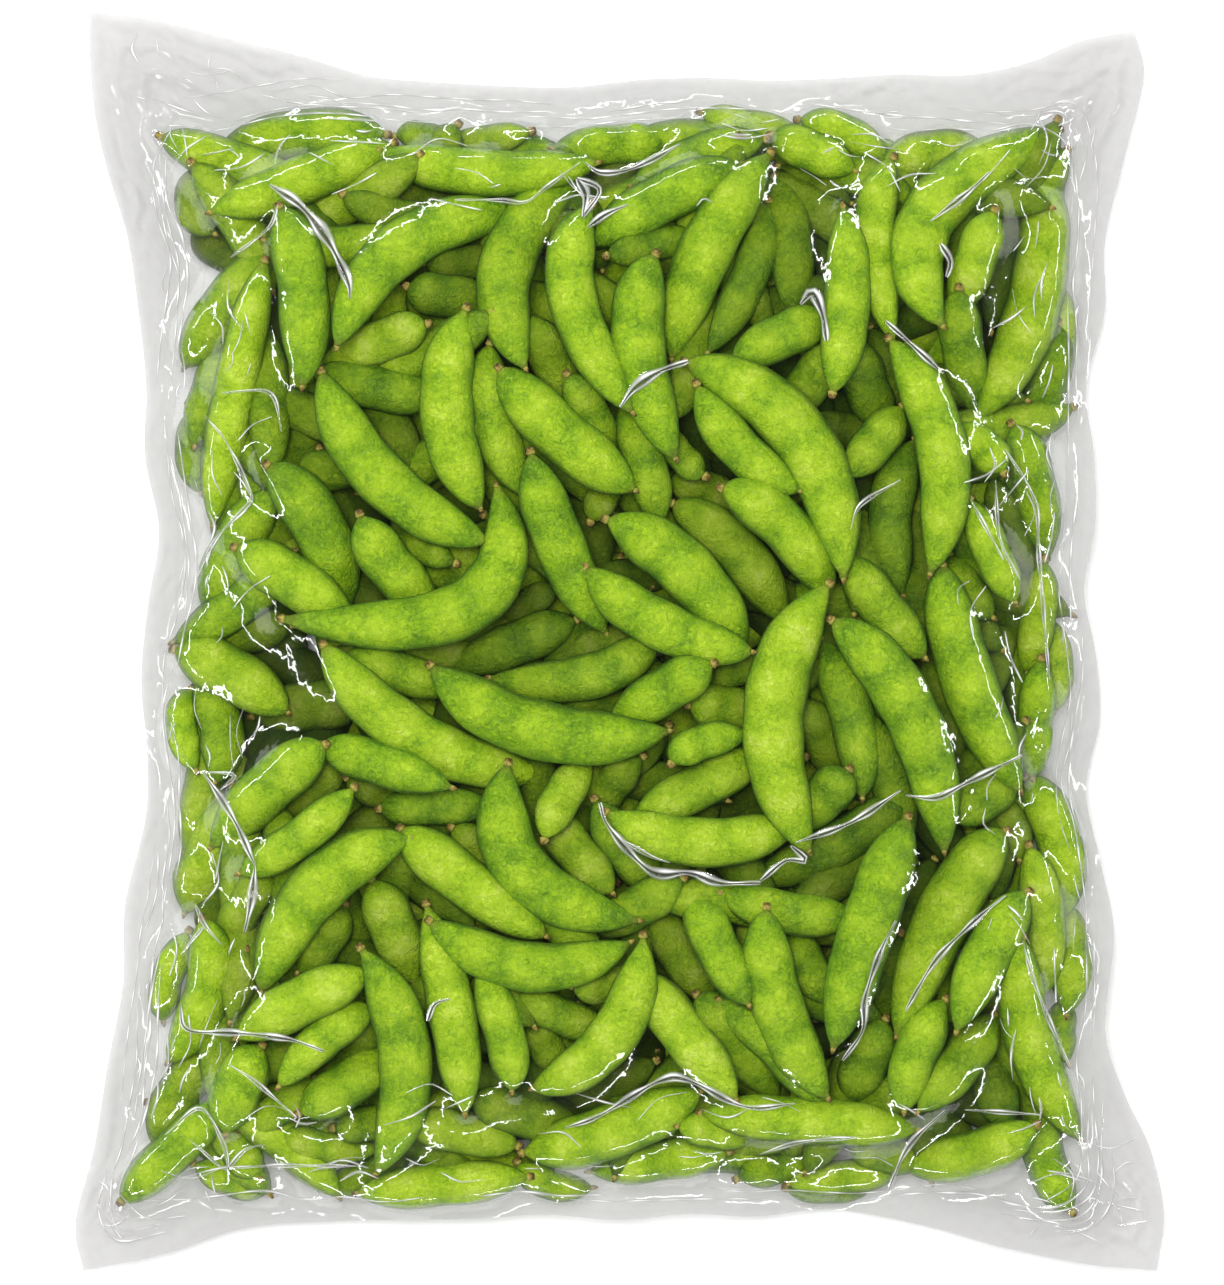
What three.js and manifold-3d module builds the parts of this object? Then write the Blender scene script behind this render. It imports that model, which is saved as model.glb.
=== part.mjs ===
// A vacuum-packed pouch of edamame: two webs of clear film welded round the edge, pulled tight over
// three layers of green pods. Millimetres, +Z up. The pouch lies on its back film, with the origin at
// the middle of its underside, X to the right and Y up the face of the pouch.
import * as THREE from "three";
import Module from "manifold-3d";

// Places in the plan are read from a photograph taken straight from above, as pixels.
const MM_PER_PIXEL = 0.26;
const MIDDLE_PIXEL = [619.5, 640.5];

const FRONT_TOP = 31; // inside of the front film over the middle of the filling
const FRONT_RIM = 8; // inside of the front film where the filling ends
const FRONT_FALL = 6; // power of the shoulder: higher is squarer
const BACK_RIM = 3.8; // rise of the back film where the filling ends
const BACK_FLAT = 0.93; // share of the way out that lies flat on the table
const FILM = 0.9; // drawn thickness of a film on the flat
const SHOULDER_FILM = 1.2; // and upright through the steep front web
const SEAM_HEIGHT = 5; // mean height of the welded margin
const SEAM_WAVE = 1.6; // how far the margin waves up and down
const SEAM_WAVES = 7; // waves in one turn round the pouch
const GAP = 0.45; // left clear between pieces
const SLACK = 0.4; // more room under the front film, for its straight facets
const SEAM_GAP = 0.16; // half the gap between the films in the welded margin
const BITE = 2.4; // how far pods of one cluster press into each other

const POD_FLATNESS = 0.72; // thickness of a pod to its width
const STEEPEST = 0.3; // slope of a pod that lies across another
const SLOPE_STEPS = 24;
const STATIONS = 20; // steps along a pod where it is tested against its neighbours
const ACROSS = [-1, -0.8, -0.5, 0, 0.5, 0.8, 1]; // places across a pod that are tested against the films
const TOP_SIDES = 8; // faces round a pod of the visible layer
const LOWER_SIDES = 6;
const LARGEST_CLUSTER = 6; // pods fused in one node
const TIGHT = 3; // nearer than this counts as touching
const FIRM_BITE = 1.2; // overlap that joins two pods for good
const FRONT_CLUSTERS = 42; // clusters of the front, and of the whole filling
const MOST_CLUSTERS = 58;

// Share of the full half width along a pod, from its stem to its tip.
const PROFILE = [
  [0, 0.15], [0.12, 0.58], [0.36, 0.97], [0.64, 1], [0.88, 0.66], [1, 0],
];

// The cut edge of the pouch, clockwise from its top left corner, in pixels.
const FILM_EDGE = [
  [86, 8], [155, 18], [228, 36], [298, 53], [369, 74], [440, 80], [510, 84], [575, 84], [640, 77],
  [705, 75], [770, 78], [835, 76], [900, 72], [965, 73], [1030, 60], [1081, 39], [1137, 28],
  [1146, 75], [1126, 158], [1107, 240], [1107, 310], [1088, 385], [1096, 455], [1097, 525],
  [1086, 590], [1098, 655], [1102, 720], [1088, 790], [1103, 865], [1116, 935], [1107, 1030],
  [1126, 1095], [1152, 1150], [1166, 1215], [1159, 1273],
  [1090, 1267], [1000, 1249], [940, 1232], [875, 1218], [820, 1212], [755, 1219], [690, 1216],
  [620, 1222], [545, 1217], [475, 1221], [405, 1222], [330, 1224], [240, 1231], [165, 1256], [81, 1273],
  [73, 1225], [92, 1150], [106, 1065], [121, 985], [123, 905], [143, 820], [145, 755], [139, 680],
  [146, 605], [157, 530], [143, 455], [144, 385], [136, 310], [125, 235], [104, 165], [90, 95],
];

// The edge of the filling inside it, the same way round.
const FILL_EDGE = [
  [150, 128], [215, 122], [300, 103], [420, 112], [560, 118], [700, 104], [800, 108], [900, 120],
  [1000, 122], [1072, 118], [1084, 180], [1078, 300], [1076, 420], [1078, 500], [1068, 580],
  [1082, 680], [1064, 780], [1082, 870], [1096, 960], [1088, 1060], [1092, 1150], [1082, 1222],
  [1020, 1200], [940, 1192], [860, 1204], [760, 1200], [640, 1204], [520, 1204], [400, 1210],
  [300, 1206], [200, 1206], [108, 1212], [128, 1160], [146, 1080], [150, 1000], [168, 900],
  [172, 800], [162, 700], [182, 620], [186, 540], [170, 450], [168, 360], [180, 270], [160, 190],
];

// Pods, topmost first: stem, middle and tip of the centreline in pixels, then width in millimetres.
const TOP_PODS = [
  [1060, 128, 928, 218, 941, 326, 15.5], [1043, 162, 1036, 300, 976, 421, 14.5],
  [832, 393, 847, 300, 843, 208, 12], [379, 150, 482, 172, 597, 162, 12.5],
  [583, 168, 508, 262, 525, 368, 14.5], [517, 214, 403, 246, 338, 347, 14],
  [280, 208, 303, 285, 303, 386, 13.5], [655, 256, 638, 345, 675, 458, 14],
  [770, 153, 706, 250, 672, 358, 14.5], [686, 363, 800, 437, 843, 578, 16],
  [889, 340, 942, 450, 930, 573, 13.5], [466, 310, 447, 410, 480, 508, 14],
  [322, 373, 382, 479, 487, 542, 14], [500, 370, 562, 436, 634, 490, 14.5],
  [284, 619, 470, 605, 497, 487, 14.5], [432, 666, 535, 729, 668, 731, 15.5],
  [828, 585, 773, 712, 808, 850, 16], [832, 621, 910, 712, 944, 850, 14.5],
  [942, 566, 968, 680, 1020, 790, 14.5], [508, 764, 524, 872, 638, 920, 15],
  [412, 838, 320, 885, 262, 990, 15], [362, 948, 406, 1060, 376, 1174, 14],
  [643, 936, 613, 1035, 533, 1088, 13], [907, 818, 868, 925, 833, 1047, 15],
  [523, 1154, 612, 1132, 700, 1092, 14.5], [701, 1114, 810, 1121, 917, 1130, 12.5],
  [1022, 938, 1030, 1040, 1082, 1141, 13], [1028, 893, 990, 948, 956, 1030, 13],
  [431, 921, 528, 966, 630, 942, 13], [325, 646, 418, 738, 548, 775, 14],
  [173, 650, 228, 672, 287, 712, 14], [402, 829, 462, 878, 545, 935, 13.5],
  [1006, 832, 950, 905, 897, 1035, 15.5], [586, 568, 660, 625, 751, 652, 13],
  [236, 548, 288, 577, 352, 620, 13.5], [269, 466, 320, 528, 346, 612, 14.5],
  [660, 630, 592, 676, 490, 678, 12], [607, 520, 686, 570, 742, 652, 15],
  [722, 489, 783, 525, 830, 597, 13.5], [847, 556, 882, 608, 924, 657, 12],
  [392, 143, 302, 180, 211, 212, 13], [354, 788, 300, 838, 240, 873, 10.5],
  [325, 745, 272, 785, 210, 848, 14], [372, 972, 303, 1000, 238, 1037, 13],
  [766, 908, 777, 1005, 827, 1097, 14], [265, 262, 233, 395, 212, 525, 11.5],
  [592, 205, 572, 295, 632, 412, 13], [742, 165, 662, 198, 592, 245, 13.5],
  [769, 201, 750, 275, 708, 353, 10.5], [995, 1015, 962, 1060, 918, 1110, 12.5],
  [1036, 1126, 975, 1155, 905, 1166, 12.5], [607, 812, 700, 842, 800, 820, 13],
  [682, 878, 640, 905, 590, 930, 11.5], [673, 504, 738, 552, 783, 622, 13],
  [531, 454, 560, 545, 606, 633, 13.5], [958, 290, 962, 345, 978, 412, 11.5],
  [252, 716, 312, 706, 365, 705, 13], [232, 800, 206, 858, 183, 914, 14],
];

// Pods seen between and under them.
const SECOND_PODS = [
  [160, 135, 228, 160, 305, 182, 11.5], [765, 138, 700, 155, 632, 185, 11.5],
  [272, 250, 222, 308, 183, 366, 13], [893, 158, 875, 235, 893, 342, 11],
  [775, 175, 792, 240, 790, 310, 11.5], [994, 212, 976, 258, 955, 318, 11.5],
  [915, 440, 890, 515, 903, 595, 12], [490, 345, 493, 420, 526, 495, 12],
  [568, 376, 592, 415, 612, 455, 10], [527, 318, 552, 362, 577, 420, 11.5],
  [266, 320, 268, 400, 272, 478, 11], [427, 325, 385, 340, 322, 364, 11.5],
  [312, 370, 378, 388, 447, 398, 12], [275, 492, 234, 548, 206, 616, 13],
  [361, 516, 390, 565, 435, 608, 13], [290, 625, 245, 632, 193, 648, 11.5],
  [193, 672, 220, 728, 215, 782, 12], [712, 664, 668, 688, 608, 727, 12.5],
  [576, 620, 520, 642, 450, 668, 12], [697, 386, 740, 450, 799, 491, 11.5],
  [902, 407, 877, 440, 845, 477, 11], [820, 640, 852, 715, 862, 797, 12],
  [970, 500, 993, 555, 1015, 602, 10], [1042, 660, 1036, 720, 1034, 778, 10],
  [1045, 560, 1040, 615, 1028, 672, 9.5], [320, 745, 375, 762, 452, 787, 11.5],
  [381, 809, 430, 807, 492, 806, 10], [372, 880, 393, 925, 415, 985, 13],
  [202, 920, 208, 990, 168, 1062, 12.5], [427, 905, 452, 1010, 465, 1112, 12.5],
  [480, 965, 505, 1035, 512, 1090, 11], [765, 752, 702, 785, 634, 817, 12],
  [848, 770, 825, 795, 788, 828, 12], [690, 885, 716, 945, 748, 1003, 12],
  [721, 893, 790, 913, 855, 915, 11.5], [697, 995, 735, 1038, 778, 1100, 13],
  [640, 975, 682, 1030, 735, 1098, 13], [1028, 778, 1060, 840, 1065, 918, 12.5],
  [1050, 900, 1070, 950, 1068, 1015, 12], [912, 790, 835, 845, 748, 882, 12],
  [214, 1049, 178, 1093, 152, 1146, 12], [262, 1046, 238, 1087, 226, 1133, 13.5],
  [300, 1112, 345, 1086, 397, 1050, 12.5], [528, 1178, 442, 1186, 357, 1195, 11.5],
  [517, 1147, 458, 1132, 403, 1125, 11.5], [473, 1097, 522, 1116, 588, 1130, 12],
  [655, 1062, 608, 1086, 555, 1106, 10], [728, 1152, 660, 1162, 590, 1173, 11],
  [945, 1000, 916, 1052, 904, 1110, 12], [667, 141, 618, 143, 553, 147, 11],
  [772, 134, 812, 150, 855, 170, 11], [608, 256, 650, 246, 707, 232, 9],
  [344, 195, 400, 215, 480, 218, 9], [545, 838, 562, 797, 590, 760, 10.5],
  [1012, 425, 1035, 480, 1048, 560, 11.5], [622, 400, 645, 462, 658, 527, 11.5],
  [595, 800, 627, 850, 668, 892, 12], [513, 991, 560, 1015, 615, 1035, 10],
  [374, 1010, 328, 1034, 280, 1085, 10.5], [322, 1190, 368, 1176, 412, 1150, 9],
  [334, 1128, 362, 1125, 403, 1120, 9.5], [885, 1020, 866, 1062, 850, 1105, 12.5],
  [1000, 1045, 993, 1080, 1012, 1128, 12.5], [1015, 770, 985, 795, 950, 818, 13],
  [385, 133, 303, 132, 218, 147, 13], [885, 165, 932, 151, 990, 150, 12],
  [830, 318, 785, 335, 733, 362, 12], [408, 287, 445, 296, 502, 300, 11.5],
  [120, 1203, 172, 1152, 228, 1098, 11.5], [1073, 1213, 1048, 1165, 1038, 1105, 11],
];

const wasm = await Module();
wasm.setup();

function place([x, y]) {
  return new THREE.Vector3(
    (x - MIDDLE_PIXEL[0]) * MM_PER_PIXEL,
    (MIDDLE_PIXEL[1] - y) * MM_PER_PIXEL,
    0,
  );
}

// How many times the vector to b, and to a, make up the point (x, y): both are positive between them.
function shares(a, b, x, y) {
  const area = a.x * b.y - a.y * b.x;
  return [(x * b.y - y * b.x) / area, (a.x * y - a.y * x) / area];
}

const fillOutline = FILL_EDGE.map(place);
const filmOutline = FILM_EDGE.map(place);

// The filling's edge in the direction of each point of the film's edge.
const fillRing = filmOutline.map((edge) => {
  for (let k = 0; k < fillOutline.length; k++) {
    const [a, b] = [fillOutline[k], fillOutline[(k + 1) % fillOutline.length]];
    const [first, second] = shares(a, b, edge.x, edge.y);
    if (first >= 0 && second >= 0) return edge.clone().divideScalar(first + second);
  }
});

// 0 at the middle of the pouch, 1 where the filling ends.
function reach(x, y) {
  for (let k = 0; k < fillRing.length; k++) {
    const [a, b] = [fillRing[k], fillRing[(k + 1) % fillRing.length]];
    const [first, second] = shares(a, b, x, y);
    if (first >= 0 && second >= 0) return first + second;
  }
  return 0;
}

// Inner faces of the two films over the filling.
function frontInside(rho) {
  if (rho > 1) return FRONT_RIM - (rho - 1) * 2 * FRONT_TOP;
  return FRONT_RIM + (FRONT_TOP - FRONT_RIM) * (1 - Math.pow(rho, FRONT_FALL));
}

function backInside(rho) {
  const rise = Math.max(0, (rho - BACK_FLAT) / (1 - BACK_FLAT));
  return FILM + BACK_RIM * rise * rise;
}

function halfWidthShare(t) {
  const k = Math.max(1, PROFILE.findIndex(([at]) => at >= t));
  const [[t0, w0], [t1, w1]] = [PROFILE[k - 1], PROFILE[k]];
  return w0 + ((w1 - w0) * (t - t0)) / (t1 - t0);
}

// A pod's centreline in the plan: the curve's own points at the sections, straight between them.
function centreline([stemX, stemY, midX, midY, tipX, tipY, width], turned) {
  const [stem, mid, tip] = [[stemX, stemY], [midX, midY], [tipX, tipY]].map(place);
  const pull = mid.clone().multiplyScalar(2).sub(stem.clone().add(tip).multiplyScalar(0.5));
  const curve = new THREE.QuadraticBezierCurve3(stem, pull, tip);
  const knots = PROFILE.map(([t]) => curve.getPoint(t));
  if (turned) knots.forEach((p) => p.negate());
  const stations = [];
  for (let i = 0; i <= STATIONS; i++) {
    const t = i / STATIONS;
    const k = Math.max(1, PROFILE.findIndex(([at]) => at >= t));
    const [t0, t1] = [PROFILE[k - 1][0], PROFILE[k][0]];
    const point = knots[k - 1].clone().lerp(knots[k], (t - t0) / (t1 - t0));
    const run = knots[k].clone().sub(knots[k - 1]);
    const length = Math.hypot(run.x, run.y);
    stations.push({
      x: point.x,
      y: point.y,
      sideX: -run.y / length,
      sideY: run.x / length,
      radius: (width / 2) * halfWidthShare(t),
    });
  }
  // Distance along the pod from its middle, which its slope is measured by.
  let along = 0;
  stations.forEach((s, i) => {
    if (i) along += Math.hypot(s.x - stations[i - 1].x, s.y - stations[i - 1].y);
    s.along = along;
  });
  stations.forEach((s) => (s.along -= along / 2));
  return { width, knots, stations };
}

// Height of a pod's surface above its centre at a share of its half width.
function rise(radius, across) {
  return POD_FLATNESS * radius * Math.sqrt(1 - across * across);
}

// How far two round sections must stay apart in height, or 0 where they pass in the plan.
function spacing(s, other, gap) {
  const [dx, dy] = [s.x - other.x, s.y - other.y];
  const wide = Math.max(0, s.radius + other.radius + gap);
  const left = wide * wide - dx * dx - dy * dy;
  return left > 0 ? POD_FLATNESS * Math.sqrt(left) : 0;
}

// The highest each station may lie below the film that the pod is pressed against. Heights are
// measured towards that film, so up is -1 for the layer that faces the table.
function filmLimits(pod, up) {
  return pod.stations.map((s) =>
    Math.min(
      ...ACROSS.map((f) => {
        const rho = reach(s.x + f * s.radius * s.sideX, s.y + f * s.radius * s.sideY);
        const film = up > 0 ? frontInside(rho) : -backInside(rho);
        return film - GAP - rise(s.radius, f);
      }),
    ),
  );
}

function podLimits(pod, other, gap, up) {
  return pod.stations.map((s) =>
    Math.min(
      ...other.stations.map((o) => {
        const apart = spacing(s, o, gap);
        return apart > 0 ? up * o.z - apart : Infinity;
      }),
    ),
  );
}

// The straight line along the pod that lies highest at its middle, under every limit.
function highestLine(pod, limits) {
  let best = { height: -Infinity, slope: 0 };
  for (let k = -SLOPE_STEPS / 2; k <= SLOPE_STEPS / 2; k++) {
    const slope = (STEEPEST * k) / (SLOPE_STEPS / 2);
    let height = Infinity;
    pod.stations.forEach((s, i) => {
      height = Math.min(height, limits[i] - slope * s.along);
    });
    if (height > best.height) best = { height, slope };
  }
  return best;
}

const least = (lists) => lists[0].map((_, i) => Math.min(...lists.map((l) => l[i])));

const pods = []; // every pod that has its place
const clusters = []; // pods fused in one body

// True where a pod keeps clear of the far film and of the pods pressed against it.
function fits(pod, up) {
  const clearOfFilm = pod.stations.every((s) =>
    ACROSS.every((f) => {
      const rho = reach(s.x + f * s.radius * s.sideX, s.y + f * s.radius * s.sideY);
      const film = up > 0 ? backInside(rho) : -frontInside(rho);
      return up * s.z - rise(s.radius, f) >= film + GAP;
    }),
  );
  return (
    clearOfFilm &&
    pods
      .filter((other) => other.up !== up)
      .every((other) =>
        pod.stations.every((s) =>
          other.stations.every((o) => {
            const apart = spacing(s, o, GAP);
            return apart === 0 || up * (s.z - o.z) >= apart;
          }),
        ),
      )
  );
}

function settle(pod, line, up) {
  pod.up = up;
  pod.stations.forEach((s) => (s.z = up * (line.height + line.slope * s.along)));
  return pod;
}

// How deep a pod presses into the nearest pod of a cluster.
function bite(pod, cluster) {
  let deepest = 0;
  for (const s of pod.stations) {
    for (const o of cluster.flatMap((other) => other.stations)) {
      const apart = Math.hypot(s.x - o.x, s.y - o.y, (s.z - o.z) / POD_FLATNESS);
      deepest = Math.max(deepest, s.radius + o.radius - apart);
    }
  }
  return deepest;
}

// The clusters that a pod may join, several at a time where it can tie them together.
function choices(touched) {
  const pairs = touched.flatMap((a, i) => touched.slice(i + 1).map((b) => [a, b]));
  const threes = pairs.flatMap(([a, b]) =>
    touched.slice(touched.indexOf(b) + 1).map((c) => [a, b, c]),
  );
  const small = (group) => group.flat().length < LARGEST_CLUSTER;
  return [...threes, ...pairs, ...touched.map((cluster) => [cluster])].filter(small);
}

function merge([first, ...others]) {
  for (const cluster of others) {
    cluster.forEach((pod) => (pod.cluster = first));
    first.push(...cluster);
    clusters.splice(clusters.indexOf(cluster), 1);
  }
  return first;
}

// Presses a pod against its film and the pods already there, and joins it to a cluster it touches.
function addPod(numbers, up, sides, mostClusters) {
  const pod = centreline(numbers, up < 0);
  const film = filmLimits(pod, up);
  const neighbours = pods
    .filter((other) => other.up === up)
    .map((other) => ({ other, clear: podLimits(pod, other, GAP, up) }))
    .filter(({ clear }) => clear.some((limit) => limit < Infinity));
  const limits = least([film, ...neighbours.map(({ clear }) => clear)]);
  const line = highestLine(pod, limits);
  const slack = (list) =>
    Math.min(...list.map((limit, i) => limit - line.height - line.slope * pod.stations[i].along));
  const touched = neighbours
    .map(({ other, clear }) => ({ cluster: other.cluster, room: slack(clear) }))
    .filter(({ room }) => room < TIGHT)
    .sort((a, b) => a.room - b.room)
    .map(({ cluster }) => cluster);
  for (const joined of choices([...new Set(touched)])) {
    const pressed = neighbours.map(({ other, clear }) =>
      joined.includes(other.cluster) ? podLimits(pod, other, -BITE, up) : clear,
    );
    settle(pod, highestLine(pod, least([film, ...pressed])), up);
    if (joined.every((cluster) => bite(pod, cluster) >= FIRM_BITE) && fits(pod, up)) {
      pod.cluster = merge(joined);
      break;
    }
  }
  if (!pod.cluster) {
    if (clusters.length >= mostClusters) return false;
    settle(pod, line, up);
    if (!fits(pod, up)) return false;
    pod.cluster = [];
    clusters.push(pod.cluster);
  }
  pod.sides = sides;
  pod.cluster.push(pod);
  pods.push(pod);
  return true;
}

TOP_PODS.forEach((numbers) => addPod(numbers, 1, TOP_SIDES, MOST_CLUSTERS));
// The pods between them first join what they touch, and some of the rest then lie on their own.
const loose = SECOND_PODS.filter((numbers) => !addPod(numbers, 1, LOWER_SIDES, 0));
loose.forEach((numbers) => addPod(numbers, 1, LOWER_SIDES, FRONT_CLUSTERS));
// Underneath the same lie of pods comes again, turned half round and pressed against the back film.
TOP_PODS.forEach((numbers) => addPod(numbers, -1, LOWER_SIDES, MOST_CLUSTERS));

// A pod's faces: rings of points round its sections, closed at the stem and drawn to a point.
function podSolid(pod) {
  const points = [];
  const faces = [];
  const at = (k) => {
    const t = PROFILE[k][0];
    const i = Math.min(STATIONS - 1, Math.floor(t * STATIONS));
    const [s0, s1] = [pod.stations[i], pod.stations[i + 1]];
    return s0.z + (s1.z - s0.z) * (t * STATIONS - i);
  };
  const last = PROFILE.length - 1;
  for (let k = 0; k < last; k++) {
    const before = pod.knots[Math.max(0, k - 1)];
    const after = pod.knots[k + 1];
    const side = new THREE.Vector3(before.y - after.y, after.x - before.x, 0).normalize();
    const radius = (pod.width / 2) * PROFILE[k][1];
    for (let m = 0; m < pod.sides; m++) {
      const turn = (2 * Math.PI * m) / pod.sides;
      const point = pod.knots[k].clone().addScaledVector(side, radius * Math.cos(turn));
      points.push(point.x, point.y, at(k) + POD_FLATNESS * radius * Math.sin(turn));
    }
  }
  const n = pod.sides;
  for (let m = 1; m < n - 1; m++) faces.push(0, m + 1, m);
  for (let k = 0; k < last - 1; k++) {
    for (let m = 0; m < n; m++) {
      const [a, b] = [k * n + m, k * n + ((m + 1) % n)];
      faces.push(a, b, b + n, a, b + n, a + n);
    }
  }
  const tip = pod.knots[last];
  points.push(tip.x, tip.y, at(last));
  for (let m = 0; m < n; m++) faces.push((last - 1) * n + m, (last - 1) * n + ((m + 1) % n), last * n);
  return new wasm.Manifold(
    new wasm.Mesh({
      numProp: 3,
      vertProperties: new Float32Array(points),
      triVerts: new Uint32Array(faces),
    }),
  );
}

function meshOf(name, points, faces, material) {
  const geometry = new THREE.BufferGeometry()
    .setAttribute("position", new THREE.BufferAttribute(new Float32Array(points), 3))
    .setIndex(faces);
  geometry.computeVertexNormals();
  const mesh = new THREE.Mesh(geometry, material);
  mesh.name = name;
  return mesh;
}

// Rings of the films: shares of the way out to the filling's edge, then of the welded margin.
const FILL_RINGS = [0.42, 0.66, 0.8, 0.9, 0.96, 1];
const MARGIN_RINGS = [0.4, 1];

function seamHeight(x, y) {
  return SEAM_HEIGHT + SEAM_WAVE * Math.sin(SEAM_WAVES * Math.atan2(y, x));
}

// A film as a sheet with an upper and a lower face over the same rings of points.
function filmMesh(name, faceHeights, material) {
  const count = filmOutline.length;
  const [upper, lower] = [[], []];
  const lay = (x, y, heights) => {
    upper.push(x, y, heights[0]);
    lower.push(x, y, heights[1]);
  };
  lay(0, 0, faceHeights.fill(0));
  for (const rho of FILL_RINGS) {
    fillRing.forEach((p) => lay(p.x * rho, p.y * rho, faceHeights.fill(rho)));
  }
  for (const out of MARGIN_RINGS) {
    fillRing.forEach((p, k) => {
      const point = p.clone().lerp(filmOutline[k], out);
      lay(point.x, point.y, faceHeights.margin(seamHeight(point.x, point.y)));
    });
  }
  const rings = FILL_RINGS.length + MARGIN_RINGS.length;
  const under = 1 + rings * count;
  const faces = [];
  // The outline runs clockwise seen from above, so a face that looks up takes its points backwards.
  const both = (a, b, c) => faces.push(a, c, b, under + a, under + b, under + c);
  for (let k = 0; k < count; k++) {
    const next = (k + 1) % count;
    both(0, 1 + k, 1 + next);
    for (let r = 0; r < rings - 1; r++) {
      const [a, b] = [1 + r * count + k, 1 + r * count + next];
      both(a, a + count, b);
      both(b, a + count, b + count);
    }
    const [a, b] = [1 + (rings - 1) * count + k, 1 + (rings - 1) * count + next];
    faces.push(a, b, under + b, a, under + b, under + a);
  }
  return meshOf(name, [...upper, ...lower], faces, material);
}

const frontFilm = {
  fill: (rho) => [frontInside(rho) + SLACK + SHOULDER_FILM, frontInside(rho) + SLACK],
  margin: (height) => [height + SEAM_GAP + FILM, height + SEAM_GAP],
};
const backFilm = {
  fill: (rho) => [backInside(rho), backInside(rho) - FILM],
  margin: (height) => [height - SEAM_GAP, height - SEAM_GAP - FILM],
};

const clearFilm = new THREE.MeshStandardMaterial({
  color: 0xdedcde,
  roughness: 0.12,
  metalness: 0,
  transparent: true,
  opacity: 0.25,
  side: THREE.DoubleSide,
});
const podSkin = new THREE.MeshStandardMaterial({ color: 0x7fae22, roughness: 0.42, metalness: 0 });

const pouch = new THREE.Group();
pouch.add(filmMesh("front_film", frontFilm, clearFilm));
pouch.add(filmMesh("back_film", backFilm, clearFilm));
clusters.forEach((cluster, k) => {
  const solid = cluster.map(podSolid).reduce((joined, pod) => joined.add(pod));
  const { vertProperties, triVerts } = solid.getMesh();
  pouch.add(meshOf(`pods_${String(k + 1).padStart(2, "0")}`, vertProperties, Array.from(triVerts), podSkin));
});

export default pouch;
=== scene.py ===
"""A clear vacuum pouch of edamame, lying flat and seen from straight above."""

import bpy
import numpy as np
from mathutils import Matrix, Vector


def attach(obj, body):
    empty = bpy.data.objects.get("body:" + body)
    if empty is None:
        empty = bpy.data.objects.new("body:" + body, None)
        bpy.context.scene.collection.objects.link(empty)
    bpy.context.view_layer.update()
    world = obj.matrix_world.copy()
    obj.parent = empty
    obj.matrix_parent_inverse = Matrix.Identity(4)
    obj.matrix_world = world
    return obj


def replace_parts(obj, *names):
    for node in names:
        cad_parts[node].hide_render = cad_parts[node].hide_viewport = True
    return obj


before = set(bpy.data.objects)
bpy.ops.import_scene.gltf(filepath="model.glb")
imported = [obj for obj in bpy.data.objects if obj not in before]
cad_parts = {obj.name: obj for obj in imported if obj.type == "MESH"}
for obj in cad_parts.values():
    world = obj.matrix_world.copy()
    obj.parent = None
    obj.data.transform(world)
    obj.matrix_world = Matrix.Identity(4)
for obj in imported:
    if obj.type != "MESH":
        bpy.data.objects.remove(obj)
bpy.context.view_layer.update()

# The camera looks straight down on the pouch from far off, so that its sides don't show.
# Places in the plan are read from the photograph, as pixels of its 1224 by 1285 frame.
MM = 0.001
MM_PER_PIXEL = 0.26
MIDDLE_PIXEL = (619.5, 640.5)
FRAME_PIXELS = (1224, 1285)
CAMERA_HEIGHT = 3.0
SENSOR = 36.0
FAR_END = 20.0
MIDDLE_HEIGHT = 0.018  # height at which the frame's width is true


def place(pixels):
    """Plan positions in millimetres from pixels of the photograph."""
    pixels = np.asarray(pixels, dtype=float)
    x = (pixels[..., 0] - MIDDLE_PIXEL[0]) * MM_PER_PIXEL
    y = (MIDDLE_PIXEL[1] - pixels[..., 1]) * MM_PER_PIXEL
    return np.stack([x, y], axis=-1)


camera_data = bpy.data.cameras.new("camera")
camera = bpy.data.objects.new("camera", camera_data)
bpy.context.scene.collection.objects.link(camera)
frame_middle = place((FRAME_PIXELS[0] / 2, FRAME_PIXELS[1] / 2)) * MM
frame_width = FRAME_PIXELS[0] * MM_PER_PIXEL * MM
camera.location = (frame_middle[0], frame_middle[1], CAMERA_HEIGHT)
camera_data.sensor_fit = "HORIZONTAL"
camera_data.sensor_width = SENSOR
camera_data.lens = SENSOR * (CAMERA_HEIGHT - MIDDLE_HEIGHT) / frame_width
camera_data.clip_end = FAR_END
bpy.context.scene.camera = camera


def link_object(name, data):
    made = bpy.data.objects.new(name, data)
    bpy.context.scene.collection.objects.link(made)
    return made


def linear(hex_colour):
    """Linear red, green, blue and alpha of an sRGB hex colour."""
    parts = [int(hex_colour[i : i + 2], 16) / 255 for i in (1, 3, 5)]
    return [p / 12.92 if p <= 0.04045 else ((p + 0.055) / 1.055) ** 2.4 for p in parts] + [1]


def add_node(tree, kind, settings=None, stops=(), **sockets):
    """One shader node, its settings, its colour stops, and its sockets set or linked."""
    made = tree.nodes.new(kind)
    for name, value in (settings or {}).items():
        setattr(made, name, value)
    for at, colour in stops[2:]:
        made.color_ramp.elements.new(at)
    for number, (at, colour) in enumerate(stops):
        made.color_ramp.elements[number].position = at
        made.color_ramp.elements[number].color = linear(colour)
    for name, value in sockets.items():
        key = int(name[1:]) if name[0] == "_" else name.replace("_", " ")
        socket = made.inputs[key]
        if isinstance(value, bpy.types.NodeSocket):
            tree.links.new(value, socket)
        else:
            socket.default_value = value
    return made


def new_material(name):
    material = bpy.data.materials.new(name)
    material.use_nodes = True
    material.node_tree.nodes.clear()
    return material, material.node_tree


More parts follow.
